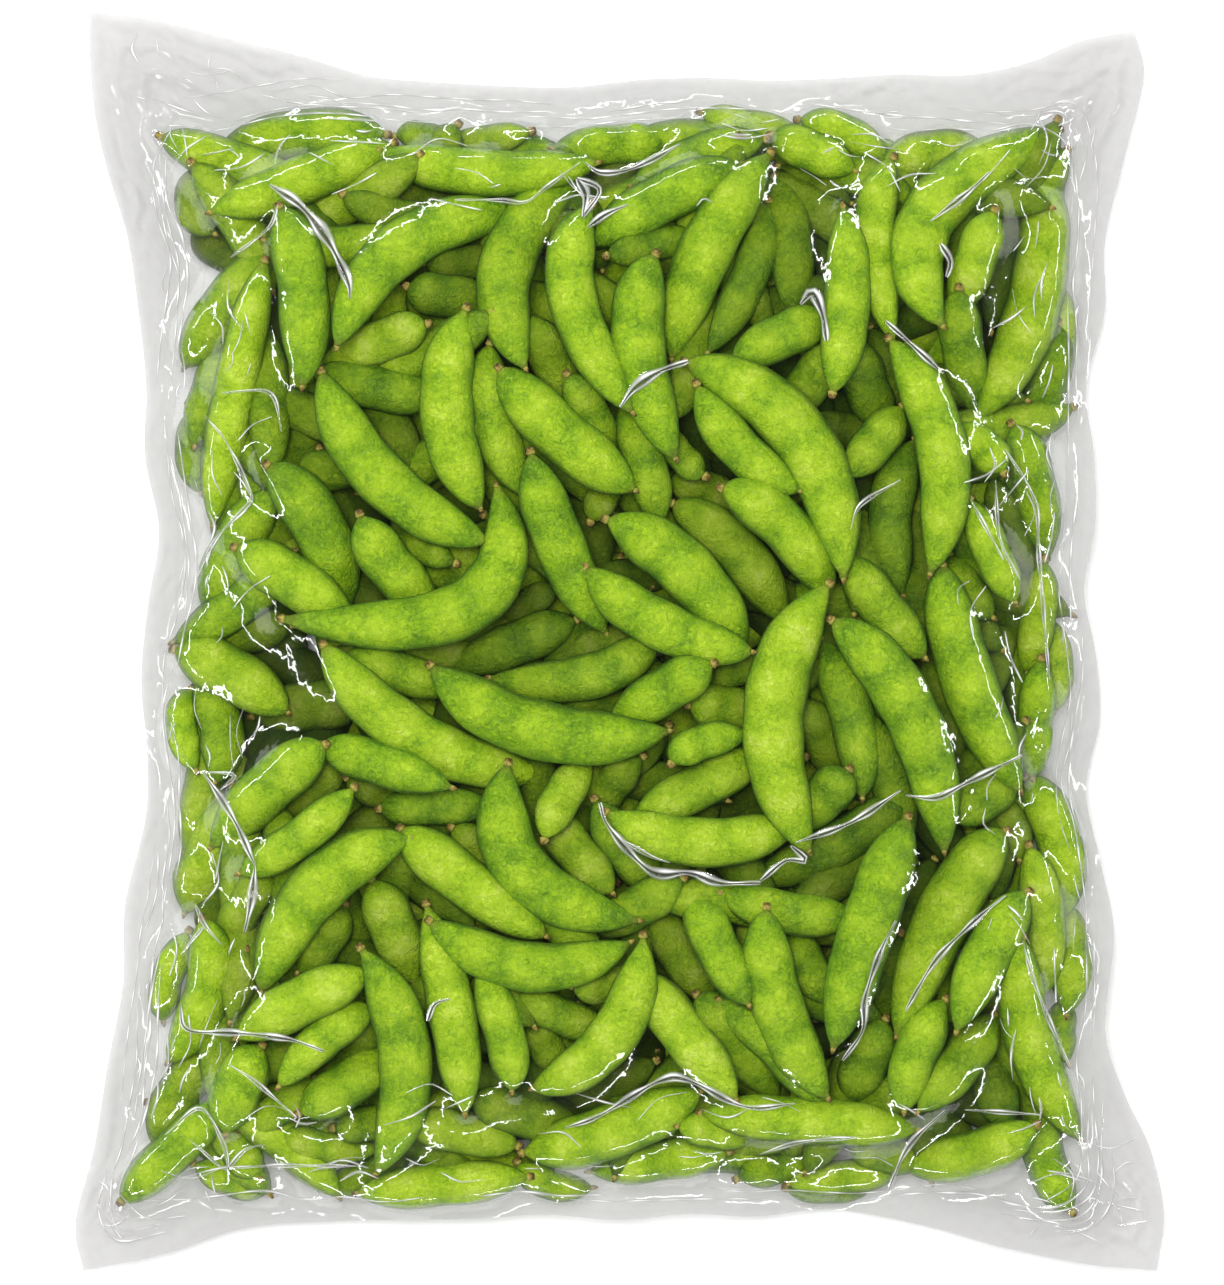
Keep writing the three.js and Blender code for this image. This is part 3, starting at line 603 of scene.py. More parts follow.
WAVINESS = 0.012
TANNED = (0.05, 0.045)  # shares of the pod that turn tan beside its stalk and its beak
STALK_RADII = (1.0, 1.3, 1.05, 1.1, 0.7)
BEAK_RADII = (0.55, 0.75, 0.65, 0.45, 0.25)
STALK_STEP = 0.5  # millimetres from one ring of the stalk to the next
END_SIDES = 8
WOODY_INSET = 0.6  # steps by which it starts inside the pod
# Of these, the fifth and the sixth carry painted shade: of each pod's sides, and of pods that lie deep under
# the film.
POD_ATTRIBUTES = ("tone", "bean", "seam", "tip", "shaded_bluer_flank", "deep")
DEEPEST_PAINTED_SHADE = 13.0  # millimetres under the film at which a pod's painted shade is darkest
chance = np.random.default_rng(8)
for pod in pods:
    pod.bluntness = [chance.uniform(*ends) for ends in BLUNTNESS]


def tube(centres, side, wide, thick, count, ripple=0.0):
    """Rings of points round a path, and the quads between them, closed by a face at either end."""
    angle = np.linspace(0, 2 * np.pi, count, endpoint=False)
    across = (wide[:, None] * np.cos(angle) * (1 + ripple))[..., None] * side[:, None, :]
    lift = thick[:, None] * np.sin(angle) * (1 + ripple)
    points = centres[:, None, :] + np.pad(across, ((0, 0), (0, 0), (0, 1)))
    points[..., 2] += lift
    index = np.arange(len(centres) * count).reshape(len(centres), count)
    near, far = index[:-1], index[1:]
    quads = np.stack([near, np.roll(near, -1, axis=1), np.roll(far, -1, axis=1), far], axis=-1)
    faces = [tuple(quad) for quad in quads.reshape(-1, 4).tolist()]
    faces += [tuple(index[0, ::-1].tolist()), tuple(index[-1].tolist())]
    return points.reshape(-1, 3), faces


def pod_path(pod, rings):
    """Points along a pod's true curve, closer together towards its ends, the plan direction across
    it, and its half sizes."""
    even = np.linspace(0, 1, rings)
    t = 0.35 * even + 0.65 * (0.5 - 0.5 * np.cos(np.pi * even))
    plan = pod.curve(t)
    stem, pull, tip = pod.ends
    run = (1 - t)[:, None] * (pull - stem) + t[:, None] * (tip - pull)
    run /= np.hypot(*run.T)[:, None]
    along = np.concatenate([[0], np.cumsum(np.hypot(*np.diff(plan, axis=0).T))])
    along -= along[-1] / 2
    height = pod.up * (pod.line[0] + pod.line[1] * along)
    beans = np.clip(round(pod.length / BEAN_LENGTH), 2, 4)
    middles = BEAN_ROOM[0] + BEAN_ROOM[1] * (np.arange(beans) + 0.5) / beans
    bulge = np.exp(-(((t[:, None] - middles) / (BEAN_SPREAD / beans)) ** 2)).max(axis=1)
    fullness, bluntness = np.where(t < 0.5, *FULLNESS), np.where(t < 0.5, *pod.bluntness)
    body = (1 - np.abs(2 * t - 1) ** fullness) ** bluntness
    wide = pod.width / 2 * np.maximum(body * (1 - BEAN_DIP * (1 - bulge)), NECK)
    thick = FLATNESS * pod.width / 2 * np.maximum(body * (1 - BEAN_HOLLOW * (1 - bulge)), NECK)
    centres = np.column_stack([plan, height])
    side = np.column_stack([-run[:, 1], run[:, 0]])
    return t, centres, side, wide, thick, bulge


def woody_end(centre, direction, side, radii, tone, deep):
    """The stalk or the beak, going on from the pod's end."""
    steps = np.arange(len(radii)) - WOODY_INSET
    centres = centre + np.outer(steps * STALK_STEP, direction)
    radii = np.array(radii)
    points, faces = tube(centres, np.tile(side, (len(radii), 1)), radii, radii, END_SIDES)
    ring = np.repeat(np.arange(len(radii)) / (len(radii) - 1), END_SIDES)
    zero = np.zeros(len(points))
    return points, faces, (zero + tone, zero, zero, ring, zero, zero + deep)


def pod_parts(pod, rings, sides):
    """The pod's body and its two woody ends: points, faces, attributes and material number."""
    t, centres, side, wide, thick, bulge = pod_path(pod, rings)
    angle = np.linspace(0, 2 * np.pi, sides, endpoint=False)
    roll, wave, twist = chance.uniform((-SEAM_ROLL, 0, 0), (SEAM_ROLL, 2 * np.pi, 2 * np.pi))
    seam = np.exp(-((np.sin(angle + roll) / SEAM_WIDTH) ** 2))
    waves = np.sin(2 * angle + wave + 9 * t[:, None]) + np.sin(3 * angle + twist - 14 * t[:, None])
    ripple = SEAM_RIDGE * seam + WAVINESS * waves
    points, faces = tube(centres, side, wide, thick, sides, ripple)
    tone = chance.uniform()
    film = front_inside(reach(pod.x, pod.y)) if pod.up > 0 else -back_inside(reach(pod.x, pod.y))
    # Painted shade: the deeper a pod lies under the film, the darker its colour is made.
    deep = np.clip(((film - pod.up * pod.z).mean() - pod.width / 2) / DEEPEST_PAINTED_SHADE, 0, 1)
    end = np.maximum(1 - t / TANNED[0], (t - 1 + TANNED[1]) / TANNED[1]).clip(0, 1)
    spread = np.ones(sides)
    attributes = (
        np.full(len(points), tone),
        np.outer(bulge, 0.5 + 0.5 * np.abs(np.sin(angle))).ravel(),
        np.outer(np.ones(rings), seam).ravel(),
        np.outer(end, spread).ravel(),
        # Painted shade: the pod's sides, which face sideways rather than up, are made darker and bluer.
        np.tile(np.cos(angle) ** 4, rings),
        np.full(len(points), deep),
    )
    yield points, faces, attributes, 0
    for here, inner, radii in ((0, 1, STALK_RADII), (-1, -2, BEAK_RADII)):
        direction = centres[here] - centres[inner]
        direction /= np.linalg.norm(direction)
        yield *woody_end(centres[here], direction, side[here], radii, tone, deep), 1


def add_mesh(name, points, faces, materials, numbers, attributes):
    """A smooth mesh object from points in millimetres, riding with the frame's only body."""
    mesh = bpy.data.meshes.new(name)
    mesh.from_pydata((np.asarray(points) * MM).tolist(), [], faces)
    for material in materials:
        mesh.materials.append(material)
    mesh.polygons.foreach_set("material_index", numbers)
    mesh.polygons.foreach_set("use_smooth", np.ones(len(faces), dtype=bool))
    for label, values in attributes.items():
        mesh.attributes.new(label, "FLOAT", "POINT").data.foreach_set("value", values)
    made = link_object(name, mesh)
    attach(made, "root")
    return made


def add_pods(name, group, hidden=False):
    points, faces, numbers, attributes, start = [], [], [], [], 0
    for pod in group:
        plain = hidden or pod.up < 0
        rings, sides = (HIDDEN_RINGS, HIDDEN_SIDES) if plain else (POD_RINGS, POD_SIDES)
        for part_points, part_faces, part_attributes, number in pod_parts(pod, rings, sides):
            points.append(part_points)
            faces += [tuple(k + start for k in face) for face in part_faces]
            numbers += [number] * len(part_faces)
            attributes.append(part_attributes)
            start += len(part_points)
    columns = {
        label: np.concatenate([part[k] for part in attributes])
        for k, label in enumerate(POD_ATTRIBUTES)
    }
    points = np.vstack(points)
    points[:, 2] = np.maximum(points[:, 2], LOWEST)
    made = add_mesh(name, points, faces, (pod_skin, woody_tip), numbers, columns)
    return made


# Pod skin: thin and green, yellower where a bean fills it, darker along the seams, with pale flecks
# and a fine fuzz that breaks up the highlights. Painted shade makes its flanks darker and bluer,
# and darkens the pods that lie deep under the film.
pod_skin, tree = new_material("green_pod_skin")
where = add_node(tree, "ShaderNodeTexCoord").outputs["Object"]
tone, bean, seam, tip, shaded_bluer_flank, deep = (
    add_node(tree, "ShaderNodeAttribute", {"attribute_name": label}).outputs["Fac"]
    for label in POD_ATTRIBUTES
)
# Blotches of about 5 mm, mottling of 1.3 mm, flecks of 0.8 mm and fuzz of 0.35 mm.
blotch = add_node(tree, "ShaderNodeTexNoise", Vector=where, Scale=1 / 0.005, Detail=3.0).outputs["Fac"]
mottle = add_node(
    tree, "ShaderNodeTexNoise", Vector=where, Scale=1 / 0.0013, Detail=4.0, Roughness=0.65, Distortion=1.2
).outputs["Fac"]
fleck = add_node(tree, "ShaderNodeTexVoronoi", Vector=where, Scale=1 / 0.0016).outputs["Distance"]
fuzz = add_node(tree, "ShaderNodeTexNoise", Vector=where, Scale=1 / 0.00035, Detail=2.0).outputs["Fac"]
ripe = add_node(tree, "ShaderNodeMath", {"operation": "MULTIPLY"}, _0=tone, _1=0.35).outputs["Value"]
for amount, source in ((0.9, blotch), (0.42, bean), (1.25, mottle)):
    times = {"operation": "MULTIPLY_ADD"}
    ripe = add_node(tree, "ShaderNodeMath", times, _0=source, _1=amount, _2=ripe).outputs["Value"]
greens = [(0.0, "#538009"), (0.3, "#7CA80F"), (0.55, "#9DC418"), (0.8, "#B5D62A"), (1.0, "#CAE354")]
spread = add_node(tree, "ShaderNodeMapRange", _0=ripe, _1=0.95, _2=1.95).outputs["Result"]
colour = add_node(tree, "ShaderNodeValToRGB", stops=greens, Fac=spread).outputs["Color"]
pale = add_node(tree, "ShaderNodeMapRange", _0=fleck, _1=0.3, _2=0.1, _3=0.0, _4=0.42).outputs["Result"]
for share, amount, shade in (
    (pale, 1.0, "#A9C65A"),
    # painted shade on the pod's sides, with a bluer green
    (shaded_bluer_flank, 0.5, "#357618"),
    (seam, 0.75, "#264808"),
    (tip, 0.6, "#7A7C2E"),
    # painted shade of the pods that lie deep under the film
    (deep, 0.92, "#152A07"),
):
    times = {"operation": "MULTIPLY", "use_clamp": True}
    part = add_node(tree, "ShaderNodeMath", times, _0=share, _1=amount).outputs["Value"]
    mixed = add_node(tree, "ShaderNodeMix", {"data_type": "RGBA"}, _0=part, _6=colour, _7=linear(shade))
    colour = mixed.outputs[2]
relief = add_node(tree, "ShaderNodeMath", {"operation": "MULTIPLY_ADD"}, _0=fuzz, _1=0.35, _2=mottle)
bump = add_node(tree, "ShaderNodeBump", Height=relief.outputs["Value"], Strength=0.9, Distance=0.0015)
rough = add_node(tree, "ShaderNodeMapRange", _0=mottle, _1=0.3, _2=0.7, _3=0.36, _4=0.58)
shader = add_node(
    tree,
    "ShaderNodeBsdfPrincipled",
    Base_Color=colour,
    Roughness=rough.outputs["Result"],
    IOR=1.45,
    Normal=bump.outputs["Normal"],
)
add_node(tree, "ShaderNodeOutputMaterial", Surface=shader.outputs["BSDF"])

# Stalk ends and beaks: dry, corky and tan, darkest at the very tip.
woody_tip, tree = new_material("dry_brown_stalk")
where = add_node(tree, "ShaderNodeTexCoord").outputs["Object"]
tip = add_node(tree, "ShaderNodeAttribute", {"attribute_name": "tip"}).outputs["Fac"]
cork = add_node(tree, "ShaderNodeTexNoise", Vector=where, Scale=1 / 0.0007, Detail=3.0).outputs["Fac"]
dry = add_node(tree, "ShaderNodeMath", {"operation": "MULTIPLY_ADD"}, _0=tip, _1=0.5, _2=cork)
browns = [(0.25, "#889A2E"), (0.55, "#A69C4A"), (0.8, "#7E6A32"), (1.0, "#4A3A1A")]
brown = add_node(tree, "ShaderNodeValToRGB", stops=browns, Fac=dry.outputs["Value"])
bump = add_node(tree, "ShaderNodeBump", Height=cork, Strength=0.7, Distance=0.0004)
shader = add_node(
    tree,
    "ShaderNodeBsdfPrincipled",
    Base_Color=brown.outputs["Color"],
    Roughness=0.75,
    Normal=bump.outputs["Normal"],
)
add_node(tree, "ShaderNodeOutputMaterial", Surface=shader.outputs["BSDF"])

for number, cluster in enumerate(clusters, 1):
    node = f"pods_{number:02d}"
    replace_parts(add_pods(f"{node}_pods", cluster), node)
front_fillers = [pod for pod in pods[solid_pods:traced_pods] if pod.up > 0]
under_fillers = [pod for pod in pods[solid_pods:traced_pods] if pod.up < 0]
add_pods("front_filling_pods", front_fillers)
add_pods("under_filling_pods", under_fillers, hidden=True)
add_pods("gap_filling_pods", pods[traced_pods:], hidden=True)

# The shape of the two films. Air pressure holds them to the pods like a tight skin, with shallow
# hollows over the gaps, and welds the webs of the margin. Each film is first a field of heights
# over the plan, laid over the pods and then tightened.
FIELD_PITCH = 1.0
FIELD_HALF = (150, 174)
PULL = (0.013, 0.036)  # millimetres that pressure moves a cell off its neighbours' mean, middle and rim
RIM = (0.72, 0.25)  # where the way out turns to rim, and over how much of it
CONE = 0.45  # slope at which the film first hangs from the pods
FIRST_ROUNDS = 45
ROUNDS = 420
FILM_CLEARANCE = 0.2  # millimetres between the front film and the pods, and under them
BACK_CLEARANCE = 1.1
SOFTENING = 3  # rounds that smooth away the steps of the cells
SOFTENED_LIFT = 0.15
WEB_GAP = 0.12  # half the gap between the films in the welded margin
STALK_REACH = 2.2
STALK_HALF = (1.4, 1.3)  # half of its width and of its thickness
FIELD_STATIONS = 48
NOWHERE = -100.0  # height of a cell that no pod covers

field_x = np.arange(-FIELD_HALF[0], FIELD_HALF[0] + 1) * FIELD_PITCH
field_y = np.arange(-FIELD_HALF[1], FIELD_HALF[1] + 1) * FIELD_PITCH
grid_x, grid_y = np.meshgrid(field_x, field_y)
web = seam_height(grid_x, grid_y)


def pods_field(side):
    """Heights of the pods as the film on that side meets them, upwards from that side."""
    field = np.full(grid_x.shape, NOWHERE)
    for pod in pods:
        _, centres, _, wide, thick, _ = pod_path(pod, FIELD_STATIONS)
        stalk = centres[0] + (centres[0] - centres[1]) / np.linalg.norm(centres[0] - centres[1]) * STALK_REACH
        centres = np.vstack([stalk, centres])
        wide = np.maximum(np.concatenate([[0], wide]), STALK_HALF[0])
        thick = np.maximum(np.concatenate([[0], thick]), STALK_HALF[1])
        for (x, y, z), w, h in zip(centres, wide, thick):
            left, right = np.searchsorted(field_x, (x - w, x + w))
            low, high = np.searchsorted(field_y, (y - w, y + w))
            part = (slice(low, high), slice(left, right))
            away = ((grid_x[part] - x) ** 2 + (grid_y[part] - y) ** 2) / (w * w)
            lift = side * z + h * np.sqrt(np.maximum(1 - away, 0))
            field[part] = np.maximum(field[part], np.where(away < 1, lift, NOWHERE))
    return field


def ramp(value, start, width):
    """0 up to the start, 1 once the width is past it."""
    return np.clip((value - start) / width, 0, 1)


def tighten(field, obstacle, pull, rounds):
    """The field after rounds of taking each cell to its neighbours' mean less the pull."""
    for _ in range(rounds):
        total = sum(np.roll(field, step, axis) for step in (-1, 1) for axis in (0, 1))
        field = np.maximum(obstacle, total / 4 - pull)
    return field


def soften(field):
    """The field without the steps of its cells, a little higher so that it stays off the pods."""
    return tighten(field, NOWHERE, 0, SOFTENING) + SOFTENED_LIFT


def skin(obstacle):
    """The film's heights over an obstacle: first a tent of even slope, then drawn tight."""
    field = obstacle.copy()
    for _ in range(FIRST_ROUNDS):
        for step in (-1, 1):
            for axis in (0, 1):
                field = np.maximum(field, np.roll(field, step, axis) - CONE)
    pull = PULL[0] + (PULL[1] - PULL[0]) * ramp(reach(grid_x, grid_y), *RIM)
    return tighten(field, obstacle, pull, ROUNDS)


front_obstacle = np.maximum(pods_field(1) + FILM_CLEARANCE, web + WEB_GAP)
back_obstacle = np.maximum(pods_field(-1) + BACK_CLEARANCE, -web + WEB_GAP)
front_field = soften(skin(front_obstacle))
back_field = np.maximum(-soften(skin(back_obstacle)), 0)


def sample(field, x, y):
    """A field's height at points between its cells."""
    column = np.clip((x - field_x[0]) / FIELD_PITCH, 0, len(field_x) - 1.001)
    row = np.clip((y - field_y[0]) / FIELD_PITCH, 0, len(field_y) - 1.001)
    i, j = column.astype(int), row.astype(int)
    a, b = column - i, row - j
    lower = field[j, i] * (1 - a) + field[j, i + 1] * a
    upper = field[j + 1, i] * (1 - a) + field[j + 1, i + 1] * a
    return lower * (1 - b) + upper * b


# The films as sheets: a grid stretched between the four cut edges, with its cells closer in the
# margin, where long fine wrinkles run beside the edge. The front film also has sharp folds.
EDGE_STEP = 0.8  # millimetres between the lines of the grid in the margin, in the middle, and behind
MIDDLE_STEP = 1.4
BACK_STEP = 1.7
MARGIN = 26.0  # width of the strip where the lines are close
POUCH = (284.0, 329.0)  # width and height of the cut film
WRINKLES = [
    # height, spacing across, length along, sway
    (0.7, 7.5, 52.0, 1.3),
    (0.5, 5.3, 31.0, 1.9),
    (0.34, 4.1, 19.0, 2.4),
]


def smooth_path(points, count):
    """A smooth curve through traced points, in millimetres, at even steps."""
    points = np.asarray(points, dtype=float)
    wide = np.vstack([2 * points[0] - points[1], points, 2 * points[-1] - points[-2]])
    a, b, c, d = wide[:-3], wide[1:-2], wide[2:-1], wide[3:]
    t = np.linspace(0, 1, 9)[:-1, None, None]
    curve = 0.5 * (2 * b + (c - a) * t + (2 * a - 5 * b + 4 * c - d) * t**2 + (3 * b - a - 3 * c + d) * t**3)
    curve = np.vstack([curve.transpose(1, 0, 2).reshape(-1, 2), points[-1]])
    run = np.concatenate([[0], np.cumsum(np.hypot(*np.diff(curve, axis=0).T))])
    even = np.linspace(0, run[-1], count) if np.isscalar(count) else np.asarray(count) * run[-1]
    return np.column_stack([np.interp(even, run, curve[:, k]) for k in (0, 1)])


def shares_of_side(length, step):
    """Places from 0 to 1 along a side, closer together within its two margins."""
    edge = np.arange(0, MARGIN, EDGE_STEP)
    middle = np.linspace(MARGIN, length - MARGIN, int((length - 2 * MARGIN) / step))
    return np.concatenate([edge, middle, (length - edge)[::-1]]) / length


def film_grid(step):
    """The sheet's plan points, and how far each is from the cut edge and along it."""
    u, v = shares_of_side(POUCH[0], step), shares_of_side(POUCH[1], step)
    loop = np.vstack([film_outline, film_outline[:1]])
    sides = [loop[a : b + 1] for a, b in zip(CORNERS, (*CORNERS[1:], len(film_outline)))]
    top, right = smooth_path(sides[0], u), smooth_path(sides[1], v)
    bottom, left = smooth_path(sides[2][::-1], u), smooth_path(sides[3][::-1], v)
    a, b = u[None, :, None], v[:, None, None]
    sheet = (1 - b) * top[None] + b * bottom[None] + (1 - a) * left[:, None] + a * right[:, None]
    sheet -= (1 - a) * ((1 - b) * top[0] + b * bottom[0]) + a * ((1 - b) * top[-1] + b * bottom[-1])
    across = np.minimum(u, 1 - u)[None, :] * POUCH[0] + 0 * v[:, None]
    down = np.minimum(v, 1 - v)[:, None] * POUCH[1] + 0 * u[None, :]
    along = np.where(across < down, v[:, None] * POUCH[1], u[None, :] * POUCH[0])
    return sheet[..., 0], sheet[..., 1], np.minimum(across, down), along


def wrinkle(deep, along, x, y):
    """Height of the margin's wrinkles: narrow crests that wander beside the cut edge, come and go
    along it, and fade towards the edge and the pods."""
    total = np.zeros(deep.shape)
    for number, (height, spacing_across, length, sway) in enumerate(WRINKLES):
        bend = sway * np.sin(2 * np.pi * along / length + number) + 0.06 * (x - y)
        crest = 0.6 - 1.6 * np.abs(np.sin(np.pi * deep / spacing_across + bend))
        total += height * crest * (0.55 + 0.45 * np.sin(2 * np.pi * along / (length * 1.7) + 2 * number))
    return total * np.clip((deep - 1) / 4, 0.15, 1) * np.clip((1.05 - reach(x, y)) / -0.05 + 1, 0, 1)


# Traced folds of the front film in pixels, with width and height in millimetres.
FOLDS = [
    (3.9, 1.1, [(270, 185), (300, 205), (325, 235), (340, 262), (350, 285), (351, 300)]),
    (1.4, 0.7, [(278, 205), (272, 225), (255, 240), (230, 257)]),
    (1.5, 0.7, [(455, 200), (500, 200), (525, 202), (545, 188), (580, 162)]),
    (2.2, 0.9, [(585, 162), (600, 172), (625, 170), (650, 160), (680, 143)]),
    (2.4, 0.9, [(588, 228), (605, 215), (628, 205)]),
    (3.3, 0.9, [(577, 178), (586, 195), (583, 218)]),
    (2.4, 0.9, [(577, 178), (600, 190), (583, 218)]),
    (3.4, 1.1, [(620, 408), (635, 388), (660, 372), (688, 362)]),
    (3.6, 1.0, [(800, 305), (812, 293), (822, 315), (826, 342)]),
    (3.6, 1.0, [(940, 245), (950, 262), (946, 278)]),
    (2.2, 0.8, [(990, 172), (965, 195), (930, 222)]),
    (2.4, 0.8, [(885, 322), (905, 340), (938, 370)]),
    (1.4, 0.6, [(222, 393), (270, 393), (282, 432)]),
    (1.5, 0.7, [(208, 420), (225, 440), (250, 490), (248, 505), (215, 540), (190, 590)]),
    (1.6, 0.7, [(850, 530), (860, 505), (900, 480)]),
    (1.4, 0.6, [(970, 500), (1003, 560)]),
    (1.4, 0.6, [(995, 480), (1000, 540), (1020, 580)]),
    (1.6, 0.7, [(1005, 450), (1035, 500), (1040, 560), (1050, 680)]),
    (1.4, 0.6, [(202, 772), (235, 775), (220, 790)]),
    (2.6, 0.9, [(202, 772), (232, 815), (256, 865)]),
    (3.0, 0.9, [(256, 865), (252, 900), (245, 932)]),
    (1.6, 0.7, [(195, 905), (205, 925), (222, 945)]),
    (1.4, 0.6, [(205, 925), (180, 955)]),
    (3.2, 1.2, [(600, 802), (608, 825), (640, 862), (660, 873), (690, 872), (720, 882), (760, 882)]),
    (1.4, 0.8, [(620, 838), (650, 855), (670, 862)]),
    (2.4, 0.9, [(760, 880), (785, 860), (805, 860), (790, 845)]),
    (2.4, 0.9, [(795, 842), (850, 822), (900, 790)]),
    (2.4, 0.9, [(905, 795), (935, 797), (965, 783), (1022, 755)]),
    (2.4, 0.9, [(895, 920), (880, 950), (865, 995), (862, 1030), (842, 1060)]),
    (2.2, 0.8, [(1005, 895), (975, 920), (935, 960), (905, 1010)]),
    (1.6, 0.7, [(1022, 940), (1030, 970), (1045, 1010), (1072, 1070)]),
    (2.2, 0.8, [(180, 1005), (188, 1030), (240, 1032), (290, 1038), (325, 1050)]),
    (1.6, 0.7, [(228, 1063), (255, 1080), (297, 1117)]),
    (1.5, 0.7, [(165, 1135), (200, 1108), (222, 1140), (225, 1170), (190, 1140)]),
    (1.5, 0.7, [(225, 1172), (245, 1150), (265, 1145)]),
    (1.5, 0.7, [(230, 1168), (290, 1166), (358, 1167)]),
    (2.4, 0.8, [(428, 1020), (435, 1003), (450, 998)]),
    (2.6, 0.9, [(565, 1128), (600, 1115), (660, 1080), (690, 1080), (745, 1106), (795, 1103)]),
    (1.7, 0.7, [(760, 1155), (800, 1142), (858, 1137)]),
    (2.2, 0.8, [(890, 1190), (910, 1145), (945, 1110)]),
    (1.5, 0.7, [(965, 1110), (1040, 1115)]),
]
FOLD_STEP = 1.1
FOLD_FADE = (0.03, 0.97)  # part of a half wave by which a fold fades at its ends
FOLD_UNEVEN = (0.8, 0.3, 0.55)  # mean, swing and quickness of its width along the way
HIGHLIGHT_PATCHES = (0.8, 0.2, 0.8)  # and of its whiteness, which is partly painted highlight
# From one side of a fold to the other: place, rise, whiteness of a traced fold and of a seeded
# crease, partly milk of the doubled film and partly painted highlight, and the painted dark core
# where the doubled film bends light away.
FOLD_ACROSS = np.array([-1, -0.62, -0.3, 0, 0.35, 0.65, 1])
FOLD_RISE = np.array([0, 0.5, 0.9, 1, 0.8, 0.35, 0])
FOLD_MILK_AND_HIGHLIGHT = np.array([0, 1, 0.15, 0.05, 1, 0.8, 0])
LINE_MILK_AND_HIGHLIGHT = np.array([0, 0.5, 0.9, 0.95, 0.7, 0.2, 0])
FOLD_SHADE = np.array([0, 0, 0.6, 0.75, 0, 0, 0])
FOLD_LIFT = 0.08  # millimetres over the film
WEB_LINES = (0.985, 1.0, 1.012, 1.03, 1.05)  # of the way out to the filling's edge
WEB_STEPS = 900  # in one turn round the pouch
WEB_RUN = (22, 80)  # steps of one crease
WEB_BREAK = (3, 26)  # steps from one crease to the next
WEB_EVERY = 9  # steps from one point of its path to the next
WEB_SWAY = 0.55
STREAK_STEPS = 1200
STREAK_LENGTH = (3, 15)
STREAK_BEND = 0.12
EDGE_STREAKS = 90  # short wrinkles in the margin, bright with painted highlight
SKIN_STREAKS = 110  # and on the pods next to it
CREASE_REACH = 0.98  # share of the way to the cut edge that no crease goes past
DARK_FOLD = 1.8  # millimetres of width from which a fold shows a painted dark core
chance = np.random.default_rng(23)


def fold(path, width, height, field):
    """One sharp fold of the film: a low ridge that follows the path and fades at either end."""
    length = np.hypot(*np.diff(path, axis=0).T).sum()
    line = smooth_path(path, max(6, int(length / FOLD_STEP)))
    run = np.gradient(line, axis=0)
    run /= np.hypot(*run.T)[:, None]
    fade = np.sin(np.pi * np.linspace(*FOLD_FADE, len(line))) ** 0.5
    mean, swing, quick = FOLD_UNEVEN
    fade *= mean + swing * np.sin(np.arange(len(line)) * quick + path[0, 1])
    off = (FOLD_ACROSS[None, :] * fade[:, None] * width / 2)[..., None]
    plan = line[:, None, :] + off * np.column_stack([-run[:, 1], run[:, 0]])[:, None, :]
    rise = FOLD_RISE[None, :] * fade[:, None] * height + FOLD_LIFT
    return np.dstack([plan, sample(field, plan[..., 0], plan[..., 1]) + rise])


def sheet_faces(rows, columns, start, flip):
    index = np.arange(rows * columns).reshape(rows, columns) + start
    quads = np.stack([index[:-1, :-1], index[1:, :-1], index[1:, 1:], index[:-1, 1:]], axis=-1)
    return quads.reshape(-1, 4)[:, :: -1 if flip else 1].tolist()


def web_lines():
    """Long wavy creases where the film leaves the pods, in seeded lengths."""
    for scale in WEB_LINES:
        loop = smooth_path(np.vstack([fill_ring, fill_ring[:1]]) * scale, WEB_STEPS)
        start = chance.integers(0, 40)
        while start < WEB_STEPS - 20:
            stop = min(start + chance.integers(*WEB_RUN), WEB_STEPS - 1)
            path = loop[start:stop:WEB_EVERY].copy()
            if len(path) > 2:
                yield path + chance.normal(0, WEB_SWAY, path.shape)
            start = stop + chance.integers(*WEB_BREAK)


def streaks(count, near, far, slant):
    """Seeded short paths beside the cut edge, at depths from near to far."""
    loop = smooth_path(np.vstack([film_outline, film_outline[:1]]), STREAK_STEPS)
    for _ in range(count):
        at = chance.integers(10, STREAK_STEPS - 10)
        run = loop[at + 8] - loop[at - 8]
        run /= np.hypot(*run)
        inward = np.array([run[1], -run[0]])
        depth, length = chance.uniform(near, far), chance.uniform(*STREAK_LENGTH)
        turn, bend = chance.normal(0, slant), chance.normal(0, STREAK_BEND)
        middle = loop[at] + inward * depth
        ahead = run * np.cos(turn) + inward * np.sin(turn)
        aside = np.array([-ahead[1], ahead[0]])
        end = ahead * length / 2
        yield np.array([middle - end, middle + aside * bend * length, middle + end])


# Shares of milk in the film: over the pods, on its steep parts, and in the margin.
CLEAR_HAZE = 0.004
SLANT_HAZE = 0.05
WEB_HAZE = 0.62
BARE_MILK = 0.8  # of the margin's, where the two films meet between the outermost pods
BACK_MILK = 0.4  # of the back film in the margin
WELDED = (0.97, 0.06)  # start and width on the way out where the margin turns milky
BETWEEN = (0.9, 0.05)  # and the film between the outermost pods
OUTER = (0.7, 0.2)  # and the film's steep parts
STEEP = (0.45, 1.2)  # slope from which a part is steep, and how much more it takes
front_slope = np.hypot(*np.gradient(front_field, FIELD_PITCH))
x, y, deep, along = film_grid(MIDDLE_STEP)
rho = reach(x, y)
wrinkles = wrinkle(deep, along, x, y)
height = sample(front_field, x, y) + wrinkles
points = [np.dstack([x, y, height]).reshape(-1, 3)]
faces = sheet_faces(*x.shape, 0, False)
bare = tighten(np.where(pods_field(1) < 0, 1.0, 0.0), np.zeros(grid_x.shape), 0, SOFTENING)
welded = ramp(rho, *WELDED)
milk = sample(bare, x, y) * np.maximum(welded, BARE_MILK * ramp(rho, *BETWEEN))
